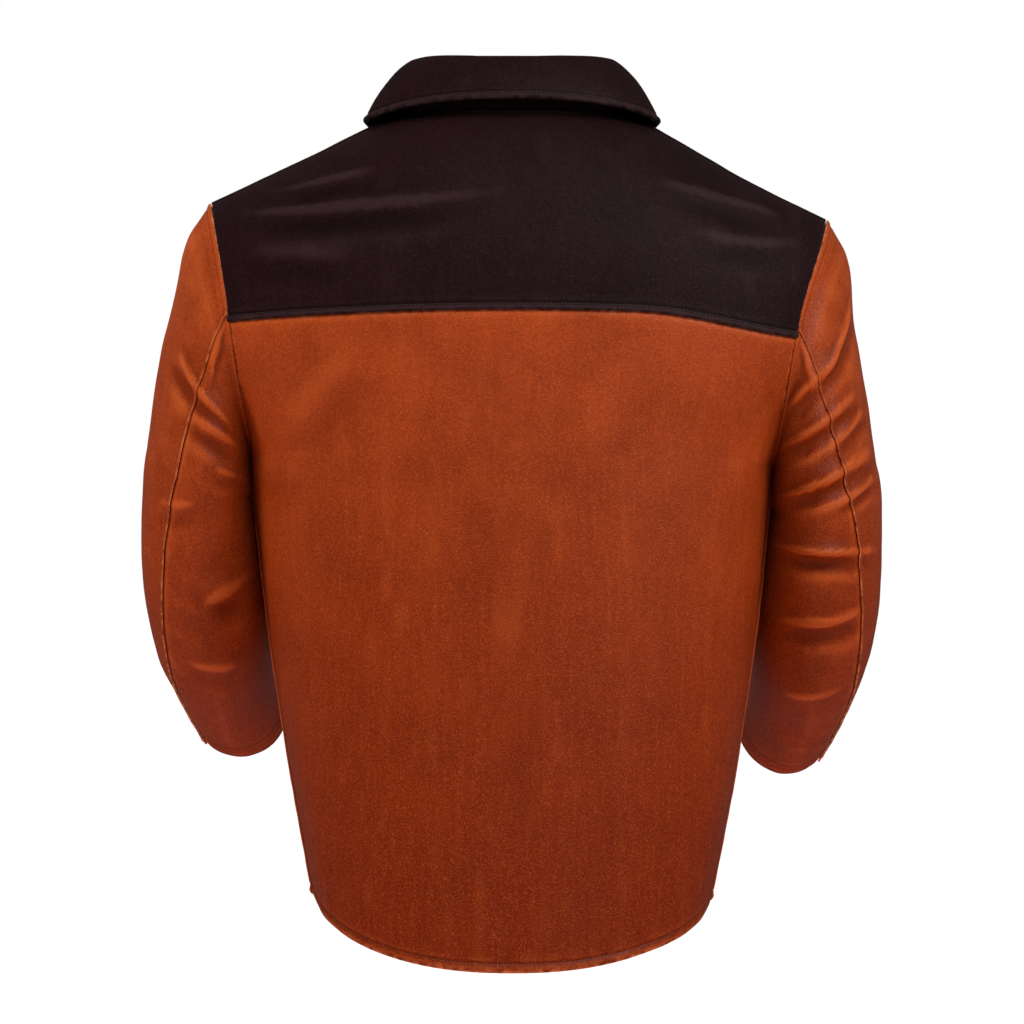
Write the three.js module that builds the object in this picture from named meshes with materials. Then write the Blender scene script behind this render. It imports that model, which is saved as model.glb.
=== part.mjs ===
// Leather welding jacket, hanging closed with its arms slightly bent forward.
//
// Frame, in millimetres: +Z up, the front faces -Y, and the wearer's left is +X. The origin is the
// middle of the neck opening, at the level of the neck seam at the back. Every height below the
// neck is therefore negative.
//
// The body is a ring of upright walls whose plan is a superellipse. Above the yoke seam the walls
// turn over the shoulders in arcs that run from back to front. Each leather piece is a thin shell
// that lies at a stated depth below that outer surface.
import * as THREE from 'three';

// ---------------------------------------------------------------- driving dimensions

const leather = 2.0; // outer hide with its backing
const facing = 1.6; // inner strips: facings, hems, pocket
const seamGap = 0.3; // between two edges that are sewn to each other
const sewnTurn = 0.004; // the same where a seam is laid out by turn
const layerGap = 0.4; // between two hides that lie flat on each other

const backLength = 762; // neck seam to the lowest point of the back hem
const tailDrop = 66; // how far the back hem hangs below the front hem
const tailPower = 2.2; // how round the corners of the back hem's curve are
const hemHalfWidth = 177;
const chestHalfWidth = 233; // at the underarm
const bodyBulge = 6; // outward bow of the side seams between hem and underarm
const bodyHalfDepth = 150;
const bodyPower = 2.4; // exponent of the plan's superellipse
const hemDepth = 26; // turned-up hem
const hemEase = 0.5; // extra room inside the slanted hem line

const underarmDrop = 302; // neck seam to underarm
const yokeDepth = 176; // neck seam to yoke seam, at the centre back
const yokeSeamArch = 10; // how much lower the yoke seam is at the armholes
const shoulderHalfWidth = 268; // at the top of the armhole
const armholeFullness = 17; // how far the body's curve, without an armhole, passes the shoulder tip
const shoulderSlope = 0.48;
const shoulderBreak = 130; // half width where the shoulder slope starts
const crownHeight = 14; // top of the shoulder arc over the neck, above the neck seam
const crownDrop = 29; // fall of that arc from the middle to the shoulder break
const rightShoulderDrop = 15; // the right side hangs lower than the left
const backArcPower = 2.3;
const frontArcPower = 2.0;

const neckHalfWidth = 98;
const neckBack = 65;
const neckFront = 118;

const neckStep = 15 * Math.PI / 180; // the neck's edge is laid out in steps of this turn
const collarEnd = 11 * neckStep; // turn from centre back to the collar's front end
const leafEnd = 152 * Math.PI / 180;
const standBack = 49; // height of the stand at the back and at the front
const standFront = 32;
const standLean = 0.12; // share by which the stand narrows up to the fold
const leafReachBack = 27; // plan reach of the leaf's edge beyond the neck: back, side, front
const leafReachSide = 35;
const leafReachFront = 32;
const leafRoomBack = 25; // room between the under collar and the yoke at the leaf's edge
const leafRoomSide = 5;
const leafRoomFront = 8;
const rollShare = 0.35; // the leaf's roll is pulled out and up at this share of its fall
const rollOut = 4 * leather;
const rollUp = 3.5 * leather;

const foldLine = 110; // half width where a front edge bends open
const overlap = 20; // each front edge passes the centre by this much
const facingWidth = 50;
const neckEase = 0.7; // extra room for the facing inside the tight curve of the neck
const insetStart = 42; // the right front starts to sink under the left one here

const snapCount = 5; // on the moving front edges; one more is on the yoke
const snapPitch = 92;
const firstSnapBelowYoke = 48;
const yokeSnapDrop = 138;
const snapGap = 0.5; // a flat snap on a curved hide
const capRadius = 7;
const capHeight = 2.6;
const socketRadius = 5.5;
const socketHeight = 1.8;
const studHeight = 1.2;
const postHeight = 1.2;

const sleeveRun = 325; // underarm to cuff, along the sleeve
const upperLean = 14 * Math.PI / 180; // forward lean of the upper arm and of the forearm
const forearmLean = 62 * Math.PI / 180;
const elbowStart = 40; // stretch of the sleeve that bends
const elbowEnd = 200;
const sleeveEase = 1.6; // between the sleeve and the side of the body
const sleeveReach = 91; // outermost point beyond the underarm, at the underarm's level
const cuffReach = 56;
const sleeveBow = 16;
const sleeveStartForward = 15; // the sleeve's centre at the underarm's level lies this far forward
const sleeveStartDrop = 14; // and this far down
const sleeveTilt = 16; // rise from the inner to the outer side of the sleeve there
const armholeSeam = 0.3; // room in the armhole's seam, as a share of the hide's thickness
const capReach = 37; // the cap's bulge beyond the shoulder tip
const capFall = 68;
const innerSleeveDrop = 30; // inner end of the cap below the underarm
const elbowWidth = 112;
const cuffWidth = 84;
const armholeHalfDepth = 86;
const cuffHalfDepth = 52;
const cuffHem = 26;

const pocketTopDrop = 330;
const pocketHeight = 160;

// ---------------------------------------------------------------- values worked out from them

const hemBottom = -backLength;
const sideHem = hemBottom + tailDrop;
const underarm = -underarmDrop;
const yokeBase = -yokeDepth - yokeSeamArch - 2; // the walls are upright up to here
const shoulderTip = crownHeight - crownDrop - shoulderSlope * (shoulderHalfWidth - shoulderBreak);
const fullHalfWidth = shoulderHalfWidth + armholeFullness;
const quarter = Math.PI / 2;

// depths of the layers at the front closure, from the outside in
const facingDepth = leather + layerGap;
const leafStack = facingDepth + facing; // the leaf with the under collar below it
const socketDepth = facingDepth + facing + snapGap;
const studDepth = socketDepth + socketHeight + layerGap;
const insetDepth = studDepth + studHeight + snapGap;
const postDepth = insetDepth + facingDepth + facing + snapGap;

const lerp = THREE.MathUtils.lerp;
const clamp = THREE.MathUtils.clamp;
const smooth = (x, low, high) => THREE.MathUtils.smoothstep(x, low, high);
const signedPower = (x, power) => Math.sign(x) * Math.abs(x) ** power;
const point = (x, y, z) => new THREE.Vector3(x, y, z);

// ---------------------------------------------------------------- the body's outer surface

function bodyHalfWidth(z) {
  if (z >= yokeBase) return fullHalfWidth;
  if (z >= underarm) {
    const rise = (z - underarm) / (yokeBase - underarm);
    return lerp(chestHalfWidth, fullHalfWidth, Math.sin(rise * quarter));
  }
  const rise = clamp((z - sideHem) / (underarm - sideHem), -0.2, 1);
  const bow = rise > 0 ? bodyBulge * Math.sin(Math.PI * rise) : 0;
  return lerp(hemHalfWidth, chestHalfWidth, rise) + bow;
}

// x of the armhole's edge at a height
function armholeEdge(z) {
  return lerp(chestHalfWidth, shoulderHalfWidth, clamp((z - underarm) / (shoulderTip - underarm), 0, 1));
}

// turn is 0 at the centre back, a quarter turn at the left side and half a turn at the centre front
function wallPoint(turn, z) {
  const power = 2 / bodyPower;
  const x = bodyHalfWidth(z) * signedPower(Math.sin(turn), power);
  const y = bodyHalfDepth * signedPower(Math.cos(turn), power);
  return point(x, y, z);
}

function turnAt(x, z) {
  const share = clamp(Math.abs(x) / bodyHalfWidth(z), 0, 1);
  return Math.asin(share ** (bodyPower / 2));
}

// turn of the side seam, or of the armhole's edge above the underarm
function sideTurn(z) {
  return z <= underarm ? quarter : turnAt(armholeEdge(z), z);
}

function bodyDepthAt(x, z) {
  const share = clamp(Math.abs(x) / bodyHalfWidth(z), 0, 1);
  return bodyHalfDepth * (1 - share ** bodyPower) ** (1 / bodyPower);
}

function bodyWidthAt(y, z) {
  const share = clamp(Math.abs(y) / bodyHalfDepth, 0, 1);
  return bodyHalfWidth(z) * (1 - share ** bodyPower) ** (1 / bodyPower);
}

function shoulderHeight(x) {
  const half = Math.abs(x);
  if (half < shoulderBreak) return crownHeight - crownDrop * (half / shoulderBreak) ** 2;
  return crownHeight - crownDrop - shoulderSlope * (half - shoulderBreak);
}

// side is 1 on the back and -1 on the front; lift is 0 at the yoke's base and a quarter turn on the
// shoulder line
function yokePoint(x, lift, side) {
  const power = 2 / (side > 0 ? backArcPower : frontArcPower);
  const y = side * bodyDepthAt(x, yokeBase) * Math.cos(lift) ** power;
  const z = yokeBase + (shoulderHeight(x) - yokeBase) * Math.sin(lift) ** power;
  return point(x, y, z);
}

function yokeHeightAt(x, y) {
  const power = y > 0 ? backArcPower : frontArcPower;
  const share = clamp(Math.abs(y) / bodyDepthAt(x, yokeBase), 0, 1);
  return yokeBase + (shoulderHeight(x) - yokeBase) * (1 - share ** power) ** (1 / power);
}

function yokeSeam(x) {
  return -yokeDepth - yokeSeamArch * (x / armholeEdge(yokeBase)) ** 2;
}

// lift at which the yoke starts, at its seam
function seamLift(x, side) {
  const power = side > 0 ? backArcPower : frontArcPower;
  const share = (yokeSeam(x) + seamGap - yokeBase) / (shoulderHeight(x) - yokeBase);
  return Math.asin(clamp(share, 0, 1) ** (power / 2));
}

// lift at which the yoke ends: the shoulder line, or the edge of the neck opening
function topLift(x, side) {
  const shoulderSeamLift = quarter - sewnTurn;
  const neck = side > 0 ? neckBack : neckFront;
  const half = Math.abs(x) / neckHalfWidth;
  if (half >= 1) return shoulderSeamLift;
  const power = side > 0 ? backArcPower : frontArcPower;
  const share = (neck * Math.sqrt(1 - half * half) + seamGap) / bodyDepthAt(x, yokeBase);
  return Math.min(shoulderSeamLift, Math.acos(share ** (power / 2)));
}

function neckPoint(turn) {
  const x = neckHalfWidth * Math.sin(turn);
  const y = (Math.cos(turn) > 0 ? neckBack : neckFront) * Math.cos(turn);
  return point(x, y, yokeHeightAt(x, y));
}

function backHem(turn) {
  const x = clamp(Math.abs(Math.sin(turn)) ** (2 / bodyPower), 0, 1);
  return hemBottom + tailDrop * (1 - Math.sqrt(1 - x ** tailPower));
}

// how deep the right front lies, so that it passes under the left one with the snaps between them
function rightInset(x) {
  return insetDepth * smooth(x, -insetStart, -overlap - 2);
}

// the whole right side hangs a little lower than the left
function settle(position) {
  if (position.x < 0) {
    position.z -= rightShoulderDrop * smooth(-position.x, foldLine, shoulderHalfWidth);
  }
  return position;
}

// ---------------------------------------------------------------- shells

// A thin closed shell over a grid of columns and rows. surface(u, v) gives its reference surface for
// u and v from 0 to 1, core(p) a point on its inner side. The shell lies between two depths.
function shell(surface, columns, rows, top, bottom, options = {}) {
  const core = options.core ?? bodyCore;
  const extra = options.extra ?? (() => 0);
  const closed = options.closed ?? false;
  const step = 1e-3;
  const across = closed ? columns : columns + 1;
  const positions = [];
  const layer = [[], []];
  for (const [index, depth] of [top, bottom].entries()) {
    for (let row = 0; row <= rows; row += 1) {
      for (let column = 0; column < across; column += 1) {
        const u = column / columns;
        const v = row / rows;
        const here = surface(u, v);
        const alongU = derivative((value) => surface(value, v), u, step, closed);
        const alongV = derivative((value) => surface(u, value), v, step, false);
        const normal = alongU.cross(alongV).normalize();
        if (normal.dot(here.clone().sub(core(here, u, v))) < 0) normal.negate();
        const vertex = here.addScaledVector(normal, -(depth + extra(u, v, here.x)));
        settle(vertex);
        layer[index].push(positions.length / 3);
        positions.push(vertex.x, vertex.y, vertex.z);
      }
    }
  }
  const at = (index, row, column) => layer[index][row * across + (column % across)];
  const faces = [];
  const quad = (a, b, c, d) => faces.push(a, b, c, a, c, d);
  for (let row = 0; row < rows; row += 1) {
    for (let column = 0; column < columns; column += 1) {
      quad(at(0, row, column), at(0, row, column + 1), at(0, row + 1, column + 1), at(0, row + 1, column));
      quad(at(1, row, column), at(1, row + 1, column), at(1, row + 1, column + 1), at(1, row, column + 1));
    }
  }
  for (let column = 0; column < columns; column += 1) {
    quad(at(0, 0, column), at(1, 0, column), at(1, 0, column + 1), at(0, 0, column + 1));
    quad(at(0, rows, column), at(0, rows, column + 1), at(1, rows, column + 1), at(1, rows, column));
  }
  for (let row = 0; row < rows && !closed; row += 1) {
    quad(at(0, row, 0), at(0, row + 1, 0), at(1, row + 1, 0), at(1, row, 0));
    quad(at(0, row, columns), at(1, row, columns), at(1, row + 1, columns), at(0, row + 1, columns));
  }
  return facedOutward(positions, faces);
}

function derivative(path, value, step, wraps) {
  const low = wraps ? value - step : Math.max(0, value - step);
  const high = wraps ? value + step : Math.min(1, value + step);
  return path(high).sub(path(low));
}

function facedOutward(positions, faces) {
  const corner = (index) => new THREE.Vector3().fromArray(positions, index * 3);
  let volume = 0;
  for (let face = 0; face < faces.length; face += 3) {
    const [a, b, c] = [corner(faces[face]), corner(faces[face + 1]), corner(faces[face + 2])];
    volume += a.dot(b.cross(c)) / 6;
  }
  if (volume < 0) faces.reverse();
  const geometry = new THREE.BufferGeometry();
  geometry.setAttribute('position', new THREE.Float32BufferAttribute(positions, 3));
  geometry.setIndex(faces);
  geometry.computeVertexNormals();
  return geometry;
}

// a point well inside the body, below and behind the surface point it is asked for
function bodyCore(here) {
  return point(here.x * 0.6, 0, Math.min(here.z - 60, yokeBase - 60));
}

// ---------------------------------------------------------------- materials

const finish = (color, roughness, metalness = 0) => new THREE.MeshStandardMaterial({
  color, roughness, metalness,
});
const russetLeather = finish(0x9a4322, 0.62);
const darkLeather = finish(0x2b1a1b, 0.5);
const innerLeather = finish(0x7a4a30, 0.85);
const antiqueBrass = finish(0x8a6a3c, 0.38, 0.9);

const jacket = new THREE.Group();

function add(name, geometry, material) {
  const mesh = new THREE.Mesh(geometry, material);
  mesh.name = name;
  jacket.add(mesh);
  return mesh;
}

// ---------------------------------------------------------------- back, fronts and yokes

const wallRows = 8;
const yokeRows = 8;
const backColumns = 18;
const sideColumns = 7;
const shoulderColumns = 5;

// places across, measured from the centre: close together where the right front sinks, and in even
// turns around the neck, so that layers which lie on each other bend at the same places
const frontPlaces = [-overlap, -overlap / 2, 0, 10, 20, 30, 40, facingWidth, 70, 90, foldLine];
const neckPlaces = (steps) => steps.map((step) => neckHalfWidth * Math.sin(step * neckStep));
const backNeckPlaces = neckPlaces([0, 1, 2, 3, 4, 5, 6]);
const frontNeckPlaces = [-overlap, -overlap / 2, ...neckPlaces([0, 0.5, 1, 1.5, 2, 3, 4, 5, 6])];

// value at a share of the way through a list
function pick(list, share) {
  const place = clamp(share, 0, 1) * (list.length - 1);
  const index = Math.min(Math.floor(place), list.length - 2);
  return lerp(list[index], list[index + 1], place - index);
}

// a height between a wall's hem and the yoke seam above it
function wallHeight(low, turn, v) {
  const seam = yokeSeam(wallPoint(turn, yokeBase).x) - seamGap;
  return lerp(low, seam, v);
}

// turn of a wall's edge at the side seam or the armhole
function sewnSideTurn(z) {
  return sideTurn(z) - seamGap / bodyHalfWidth(z);
}

function backSurface(u, v) {
  const side = 2 * u - 1;
  const z = wallHeight(backHem(side * quarter), side * sewnSideTurn(yokeBase), v);
  return wallPoint(side * sewnSideTurn(z), z);
}

// turn at a share of the way from the side seam to the fold line
function frontTurn(share, z) {
  return Math.PI - lerp(sewnSideTurn(z), turnAt(foldLine + seamGap, z), share);
}

// sign is 1 for the left front and -1 for the right; u runs from the side seam to the fold line
function sideFrontSurface(sign) {
  return (u, v) => {
    const z = wallHeight(sideHem, frontTurn(u, yokeBase), v);
    return wallPoint(sign * frontTurn(u, z), z);
  };
}

// a stretch of the front over some places across it, straight from hem to yoke seam
function frontSurface(sign, places) {
  return (u, v) => {
    const x = sign * pick(places, u);
    const z = lerp(sideHem, yokeSeam(x) - seamGap, v);
    return point(x, -bodyDepthAt(x, z), z);
  };
}

// places between the neck's side and the armhole's edge at a share of the yoke's rise
function shoulderPlaces(v, side) {
  const edge = armholeEdge(yokePoint(shoulderHalfWidth, v * quarter, side).z);
  return Array.from({ length: shoulderColumns }, (_, index) => (
    lerp(neckHalfWidth, edge, (index + 1) / shoulderColumns)
  ));
}

function backYokeSurface(u, v) {
  const left = [...backNeckPlaces, ...shoulderPlaces(v, 1)];
  const side = 2 * u - 1;
  const x = Math.sign(side) * pick(left, Math.abs(side));
  return yokePoint(x, lerp(seamLift(x, 1), topLift(x, 1), v), 1);
}

function frontYokeSurface(sign, places, toArmhole = true) {
  return (u, v) => {
    const x = sign * pick(toArmhole ? [...places, ...shoulderPlaces(v, -1)] : places, u);
    return yokePoint(x, lerp(seamLift(x, -1), topLift(x, -1), v), -1);
  };
}

const sunk = { extra: (u, v, x) => rightInset(x) };
const inside = [facingDepth, facingDepth + facing];

function addBody() {
  const edgeColumns = frontPlaces.length - 1;
  const yokeColumns = frontNeckPlaces.length - 1 + shoulderColumns;
  const backYokeColumns = 2 * (backNeckPlaces.length - 1 + shoulderColumns);
  const hide = [0, leather];
  add('back_panel', shell(backSurface, backColumns, wallRows, ...hide), russetLeather);
  add('back_yoke', shell(backYokeSurface, backYokeColumns, yokeRows, ...hide), darkLeather);
  for (const [side, sign] of [['left', 1], ['right', -1]]) {
    const options = sign < 0 ? sunk : {};
    const panel = sideFrontSurface(sign);
    const edge = frontSurface(sign, frontPlaces);
    const yoke = frontYokeSurface(sign, frontNeckPlaces);
    add(`${side}_front_panel`, shell(panel, sideColumns, wallRows, ...hide), russetLeather);
    add(`${side}_front_edge`, shell(edge, edgeColumns, wallRows, ...hide, options), russetLeather);
    add(`${side}_front_yoke`, shell(yoke, yokeColumns, yokeRows, ...hide, options), darkLeather);
  }
}

// strips inside the closing edges; they use the same places across as the hides they lie on
function addFacings() {
  const within = (places) => places.filter((x) => x <= facingWidth);
  const strip = within(frontPlaces);
  const neckStrip = within(frontNeckPlaces);
  for (const [side, sign] of [['left', 1], ['right', -1]]) {
    const options = sign < 0 ? sunk : {};
    const low = frontSurface(sign, strip);
    const high = frontYokeSurface(sign, neckStrip, false);
    add(`${side}_front_facing`, shell(low, strip.length - 1, wallRows, ...inside, options), innerLeather);
    add(`${side}_yoke_facing`, shell(high, neckStrip.length - 1, yokeRows, ...inside, options), innerLeather);
  }
}

// turned-up hems lie inside the bottom of the walls
function addHems() {
  const band = (surface) => (u, v) => surface(u, v * hemDepth / (-yokeDepth - sideHem));
  const hemInside = inside.map((depth) => depth + hemEase);
  const margin = 0.01;
  const shorter = (surface, columns) => {
    const places = Array.from({ length: columns + 1 }, (_, index) => (
      clamp(index / columns, margin, 1 - margin)
    ));
    return (u, v) => surface(pick(places, u), v);
  };
  const backBand = shorter(band(backSurface), backColumns);
  add('back_hem', shell(backBand, backColumns, 1, ...hemInside), innerLeather);
  for (const [side, sign] of [['left', 1], ['right', -1]]) {
    const surface = shorter(band(sideFrontSurface(sign)), sideColumns);
    add(`${side}_front_hem`, shell(surface, sideColumns, 1, ...hemInside), innerLeather);
  }
}

// a flat patch pocket inside the left front; it keeps one of the panel's columns free at each side
function addPocket() {
  const surface = (u, v) => {
    const z = lerp(-pocketTopDrop - pocketHeight, -pocketTopDrop, v);
    const across = lerp(1, sideColumns - 1, u) / sideColumns;
    return wallPoint(frontTurn(across, z), z);
  };
  add('inside_pocket', shell(surface, sideColumns - 2, 4, ...inside), innerLeather);
}

// ---------------------------------------------------------------- neck and collar

// a patch inside the back yoke, over some places across and some shares of the yoke's rise
function neckLayer(places, rises) {
  return (u, v) => {
    const side = 2 * u - 1;
    const x = Math.sign(side) * pick(places, Math.abs(side));
    return yokePoint(x, lerp(seamLift(x, 1), topLift(x, 1), pick(rises, v)), 1);
  };
}

function addNeck() {
  const facingPlaces = backNeckPlaces.slice(0, -1);
  const facingRises = [5 / yokeRows, 6 / yokeRows, 7 / yokeRows, 0.97];
  const neckFacing = neckLayer(facingPlaces, facingRises);
  const columns = 2 * (facingPlaces.length - 1);
  const neckInside = inside.map((depth) => depth + neckEase);
  add('neck_facing', shell(neckFacing, columns, facingRises.length - 1, ...neckInside), innerLeather);
  const depth = facingDepth + facing + neckEase + 2 * layerGap;
  const loop = neckLayer(backNeckPlaces.slice(0, 2), [0.83, 7 / yokeRows, 0.93]);
  add('hanger_loop', shell(loop, 2, 2, depth, depth + facing), darkLeather);
}

function standSurface(u, v) {
  const turn = lerp(-collarEnd, collarEnd, u);
  const seam = neckPoint(turn);
  const height = lerp(standBack, standFront, (Math.abs(turn) / collarEnd) ** 1.5);
  const narrow = 1 - standLean * v;
  return point(seam.x * narrow, seam.y * narrow, seam.z + 2 * seamGap + height * v);
}

function leafEdge(turn) {
  const x = (neckHalfWidth + leafReachSide) * Math.sin(turn);
  const toBack = Math.cos(turn) > 0;
  const y = (toBack ? neckBack + leafReachBack : neckFront + leafReachFront) * Math.cos(turn);
  const room = lerp(leafRoomSide, toBack ? leafRoomBack : leafRoomFront, Math.cos(turn) ** 2);
  return point(x, y, yokeHeightAt(x, y) + leafStack + room);
}

// outer surface of the fall of the collar, from the fold line (v = 1) down to its edge (v = 0)
function leafSurface(u, v) {
  const across = 2 * u - 1;
  const fold = standSurface(u, 1);
  const out = point(fold.x, fold.y, 0).normalize();
  fold.addScaledVector(out, leafStack + layerGap);
  const edge = leafEdge(across * leafEnd);
  const roll = fold.clone().lerp(edge, rollShare).addScaledVector(out, rollOut).add(point(0, 0, rollUp));
  const down = 1 - v;
  return fold.multiplyScalar(v * v).addScaledVector(roll, 2 * v * down).addScaledVector(edge, down * down);
}

function addCollar() {
  const neckCore = (here) => point(here.x * 0.3, here.y * 0.3, here.z);
  const leafCore = (here) => point(here.x * 0.5, here.y * 0.5, here.z - 60);
  const rows = 4;
  const columns = 2 * collarEnd / neckStep;
  add('collar_stand', shell(standSurface, columns, 2, 0, leather, { core: neckCore }), darkLeather);
  add('collar_leaf', shell(leafSurface, columns, rows, 0, leather, { core: leafCore }), darkLeather);
  const under = [leather + layerGap, leather + layerGap + facing];
  add('under_collar', shell(leafSurface, columns, rows, ...under, { core: leafCore }), darkLeather);
}

// ---------------------------------------------------------------- sleeves

// around is 0 at the top of the armhole, a quarter turn at its back and half a turn at the underarm
function armholePoint(around) {
  const middle = (shoulderTip + underarm) / 2;
  const half = (shoulderTip - underarm) / 2;
  const target = middle + half * Math.cos(around);
  const side = Math.sin(around) >= 0 ? 1 : -1;
  if (target <= yokeBase) {
    const x = armholeEdge(target);
    return point(x, side * bodyDepthAt(x, target), target);
  }
  const power = side > 0 ? backArcPower : frontArcPower;
  const share = (target - yokeBase) / (shoulderTip - yokeBase);
  const lift = Math.asin(clamp(share, 0, 1) ** (power / 2));
  const edge = armholeEdge(yokePoint(shoulderHalfWidth, lift, side).z);
  return yokePoint(edge, lift, side);
}

// the sleeve's centre line from the underarm's level to the cuff: place and forward lean
function sleevePath(distance) {
  const steps = 40;
  const stride = distance / steps;
  const place = { y: -sleeveStartForward, z: underarm - sleeveStartDrop, lean: upperLean };
  for (let index = 0; index < steps; index += 1) {
    place.lean = lerp(upperLean, forearmLean, smooth((index + 0.5) * stride, elbowStart, elbowEnd));
    place.y -= stride * Math.sin(place.lean);
    place.z -= stride * Math.cos(place.lean);
  }
  place.lean = lerp(upperLean, forearmLean, smooth(distance, elbowStart, elbowEnd));
  return place;
}

// outline of the sleeve over the cap, from the armhole (share 0) to the underarm's level (share 1)
function capRing(share) {
  const shoulder = point(shoulderHalfWidth, 0, shoulderTip);
  const bend = point(shoulderHalfWidth + capReach, 0, shoulderTip - capFall);
  const outermost = point(chestHalfWidth + sleeveReach, 0, underarm + leather);
  const outer = new THREE.QuadraticBezierCurve3(shoulder, bend, outermost).getPoint(share);
  const start = sleevePath(0);
  const innerLevel = underarm - innerSleeveDrop;
  const innerEnd = point(bodyWidthAt(start.y, innerLevel) + sleeveEase, 0, innerLevel);
  const inner = point(chestHalfWidth, 0, underarm).lerp(innerEnd, share);
  const centre = outer.clone().add(inner).multiplyScalar(0.5);
  centre.y = start.y * share;
  const halfDepth = lerp(bodyDepthAt(armholeEdge(yokeBase), yokeBase), armholeHalfDepth, share);
  const level = lerp(1, Math.cos(upperLean), share);
  const deep = point(0, halfDepth * level, -halfDepth * Math.sin(upperLean) * share);
  return { centre, wide: outer.sub(inner).multiplyScalar(0.5), deep };
}

function armRing(share) {
  const { y, z, lean } = sleevePath(share * sleeveRun);
  const bow = sleeveBow * Math.sin(Math.PI * share ** 0.8);
  const outer = chestHalfWidth + lerp(sleeveReach, cuffReach, share) + bow;
  const width = lerp(elbowWidth, cuffWidth, smooth(share, 0.35, 1));
  const inner = Math.max(bodyWidthAt(y, z) + sleeveEase, outer - width);
  const halfDepth = lerp(armholeHalfDepth, cuffHalfDepth, share);
  const tilt = sleeveTilt * (1 - smooth(share, 0, 0.25));
  return {
    centre: point((outer + inner) / 2, y, z),
    wide: point((outer - inner) / 2, 0, tilt),
    deep: point(0, halfDepth * Math.cos(lean), -halfDepth * Math.sin(lean)),
  };
}

const capShare = 0.3; // share of the sleeve's rows spent on the cap

function sleeveRing(down) {
  return down < capShare ? capRing(down / capShare) : armRing((down - capShare) / (1 - capShare));
}

function sleevePoint(around, down) {
  const { centre, wide, deep } = sleeveRing(down);
  const result = centre.addScaledVector(wide, Math.cos(around)).addScaledVector(deep, Math.sin(around));
  const set = 1 - smooth(down, 0, capShare * 0.8);
  if (set > 0) {
    const start = capRing(0);
    const oval = start.centre.addScaledVector(start.wide, Math.cos(around))
      .addScaledVector(start.deep, Math.sin(around));
    result.addScaledVector(armholePoint(around).sub(oval), set);
  }
  result.x += armholeSeam * leather + leather * Math.max(0, Math.cos(around)) ** 2;
  return result;
}

const backSeamTop = 84 * Math.PI / 180; // around the sleeve, at the armhole and from the elbow down
const backSeamLow = 46 * Math.PI / 180;
const frontSeamTop = -80 * Math.PI / 180;
const frontSeamLow = -62 * Math.PI / 180;

function backSeam(down) {
  return lerp(backSeamTop, backSeamLow, smooth(down, 0, 0.6));
}

function frontSeam(down) {
  return lerp(frontSeamTop, frontSeamLow, smooth(down, 0, 0.6));
}

function addSleeve(side, sign) {
  const mirrored = (surface) => (u, v) => {
    const place = surface(u, v);
    place.x *= sign;
    return place;
  };
  const topColumns = 8;
  const underColumns = 11;
  const rows = 13;
  const core = (here, u, v) => {
    const centre = sleeveRing(v).centre;
    centre.x *= sign;
    return centre;
  };
  const top = (u, v) => sleevePoint(lerp(frontSeam(v) + sewnTurn, backSeam(v) - sewnTurn, u), v);
  const under = (u, v) => (
    sleevePoint(lerp(backSeam(v) + sewnTurn, frontSeam(v) + 4 * quarter - sewnTurn, u), v)
  );
  const hide = [0, leather, { core }];
  add(`${side}_top_sleeve`, shell(mirrored(top), topColumns, rows, ...hide), russetLeather);
  add(`${side}_under_sleeve`, shell(mirrored(under), underColumns, rows, ...hide), russetLeather);
  const hemStart = 1 - cuffHem / sleeveRun * (1 - capShare);
  const steps = (from, to, count) => (
    Array.from({ length: count }, (_, index) => lerp(from, to, index / count))
  );
  const turns = [
    ...steps(frontSeamLow, backSeamLow, topColumns),
    ...steps(backSeamLow, frontSeamLow + 4 * quarter, underColumns),
    frontSeamLow + 4 * quarter,
  ];
  const hem = (u, v) => sleevePoint(pick(turns, u - Math.floor(u)), lerp(hemStart, 1, v));
  const hemCore = (here, u, v) => core(here, u, lerp(hemStart, 1, v));
  const columns = topColumns + underColumns;
  const hemShell = shell(mirrored(hem), columns, 1, ...inside, { core: hemCore, closed: true });
  add(`${side}_cuff_hem`, hemShell, innerLeather);
}

// ---------------------------------------------------------------- snaps

const snapSides = 10;

function turned(profile) {
  const outline = profile.map(([radius, height]) => new THREE.Vector2(radius, height));
  return new THREE.LatheGeometry(outline, snapSides);
}

const capGeometry = turned([
  [0, 0], [capRadius, 0], [capRadius, capHeight * 0.35], [capRadius * 0.72, capHeight * 0.85], [0, capHeight],
]);
const socketGeometry = turned([
  [0, 0], [socketRadius, 0], [socketRadius, socketHeight], [0, socketHeight],
]);
const studGeometry = turned([
  [0, 0], [socketRadius, 0], [socketRadius, studHeight / 2], [socketRadius * 0.5, studHeight / 2],
  [socketRadius * 0.5, studHeight], [0, studHeight],
]);
const postGeometry = turned([
  [0, 0], [socketRadius * 0.8, 0], [socketRadius * 0.8, postHeight], [0, postHeight],
]);

// the four parts of one snap, stacked along the outward normal of the front
function addSnap(label, seat, outward) {
  const place = (name, geometry, depth) => {
    const mesh = add(`${name}_${label}`, geometry, antiqueBrass);
    mesh.quaternion.setFromUnitVectors(point(0, 1, 0), outward);
    mesh.position.copy(seat).addScaledVector(outward, -depth);
  };
  place('snap_cap', capGeometry, -seamGap);
  place('snap_socket', socketGeometry, socketDepth + socketHeight);
  place('snap_stud', studGeometry, studDepth + studHeight);
  place('snap_post', postGeometry, postDepth + postHeight);
}

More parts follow.
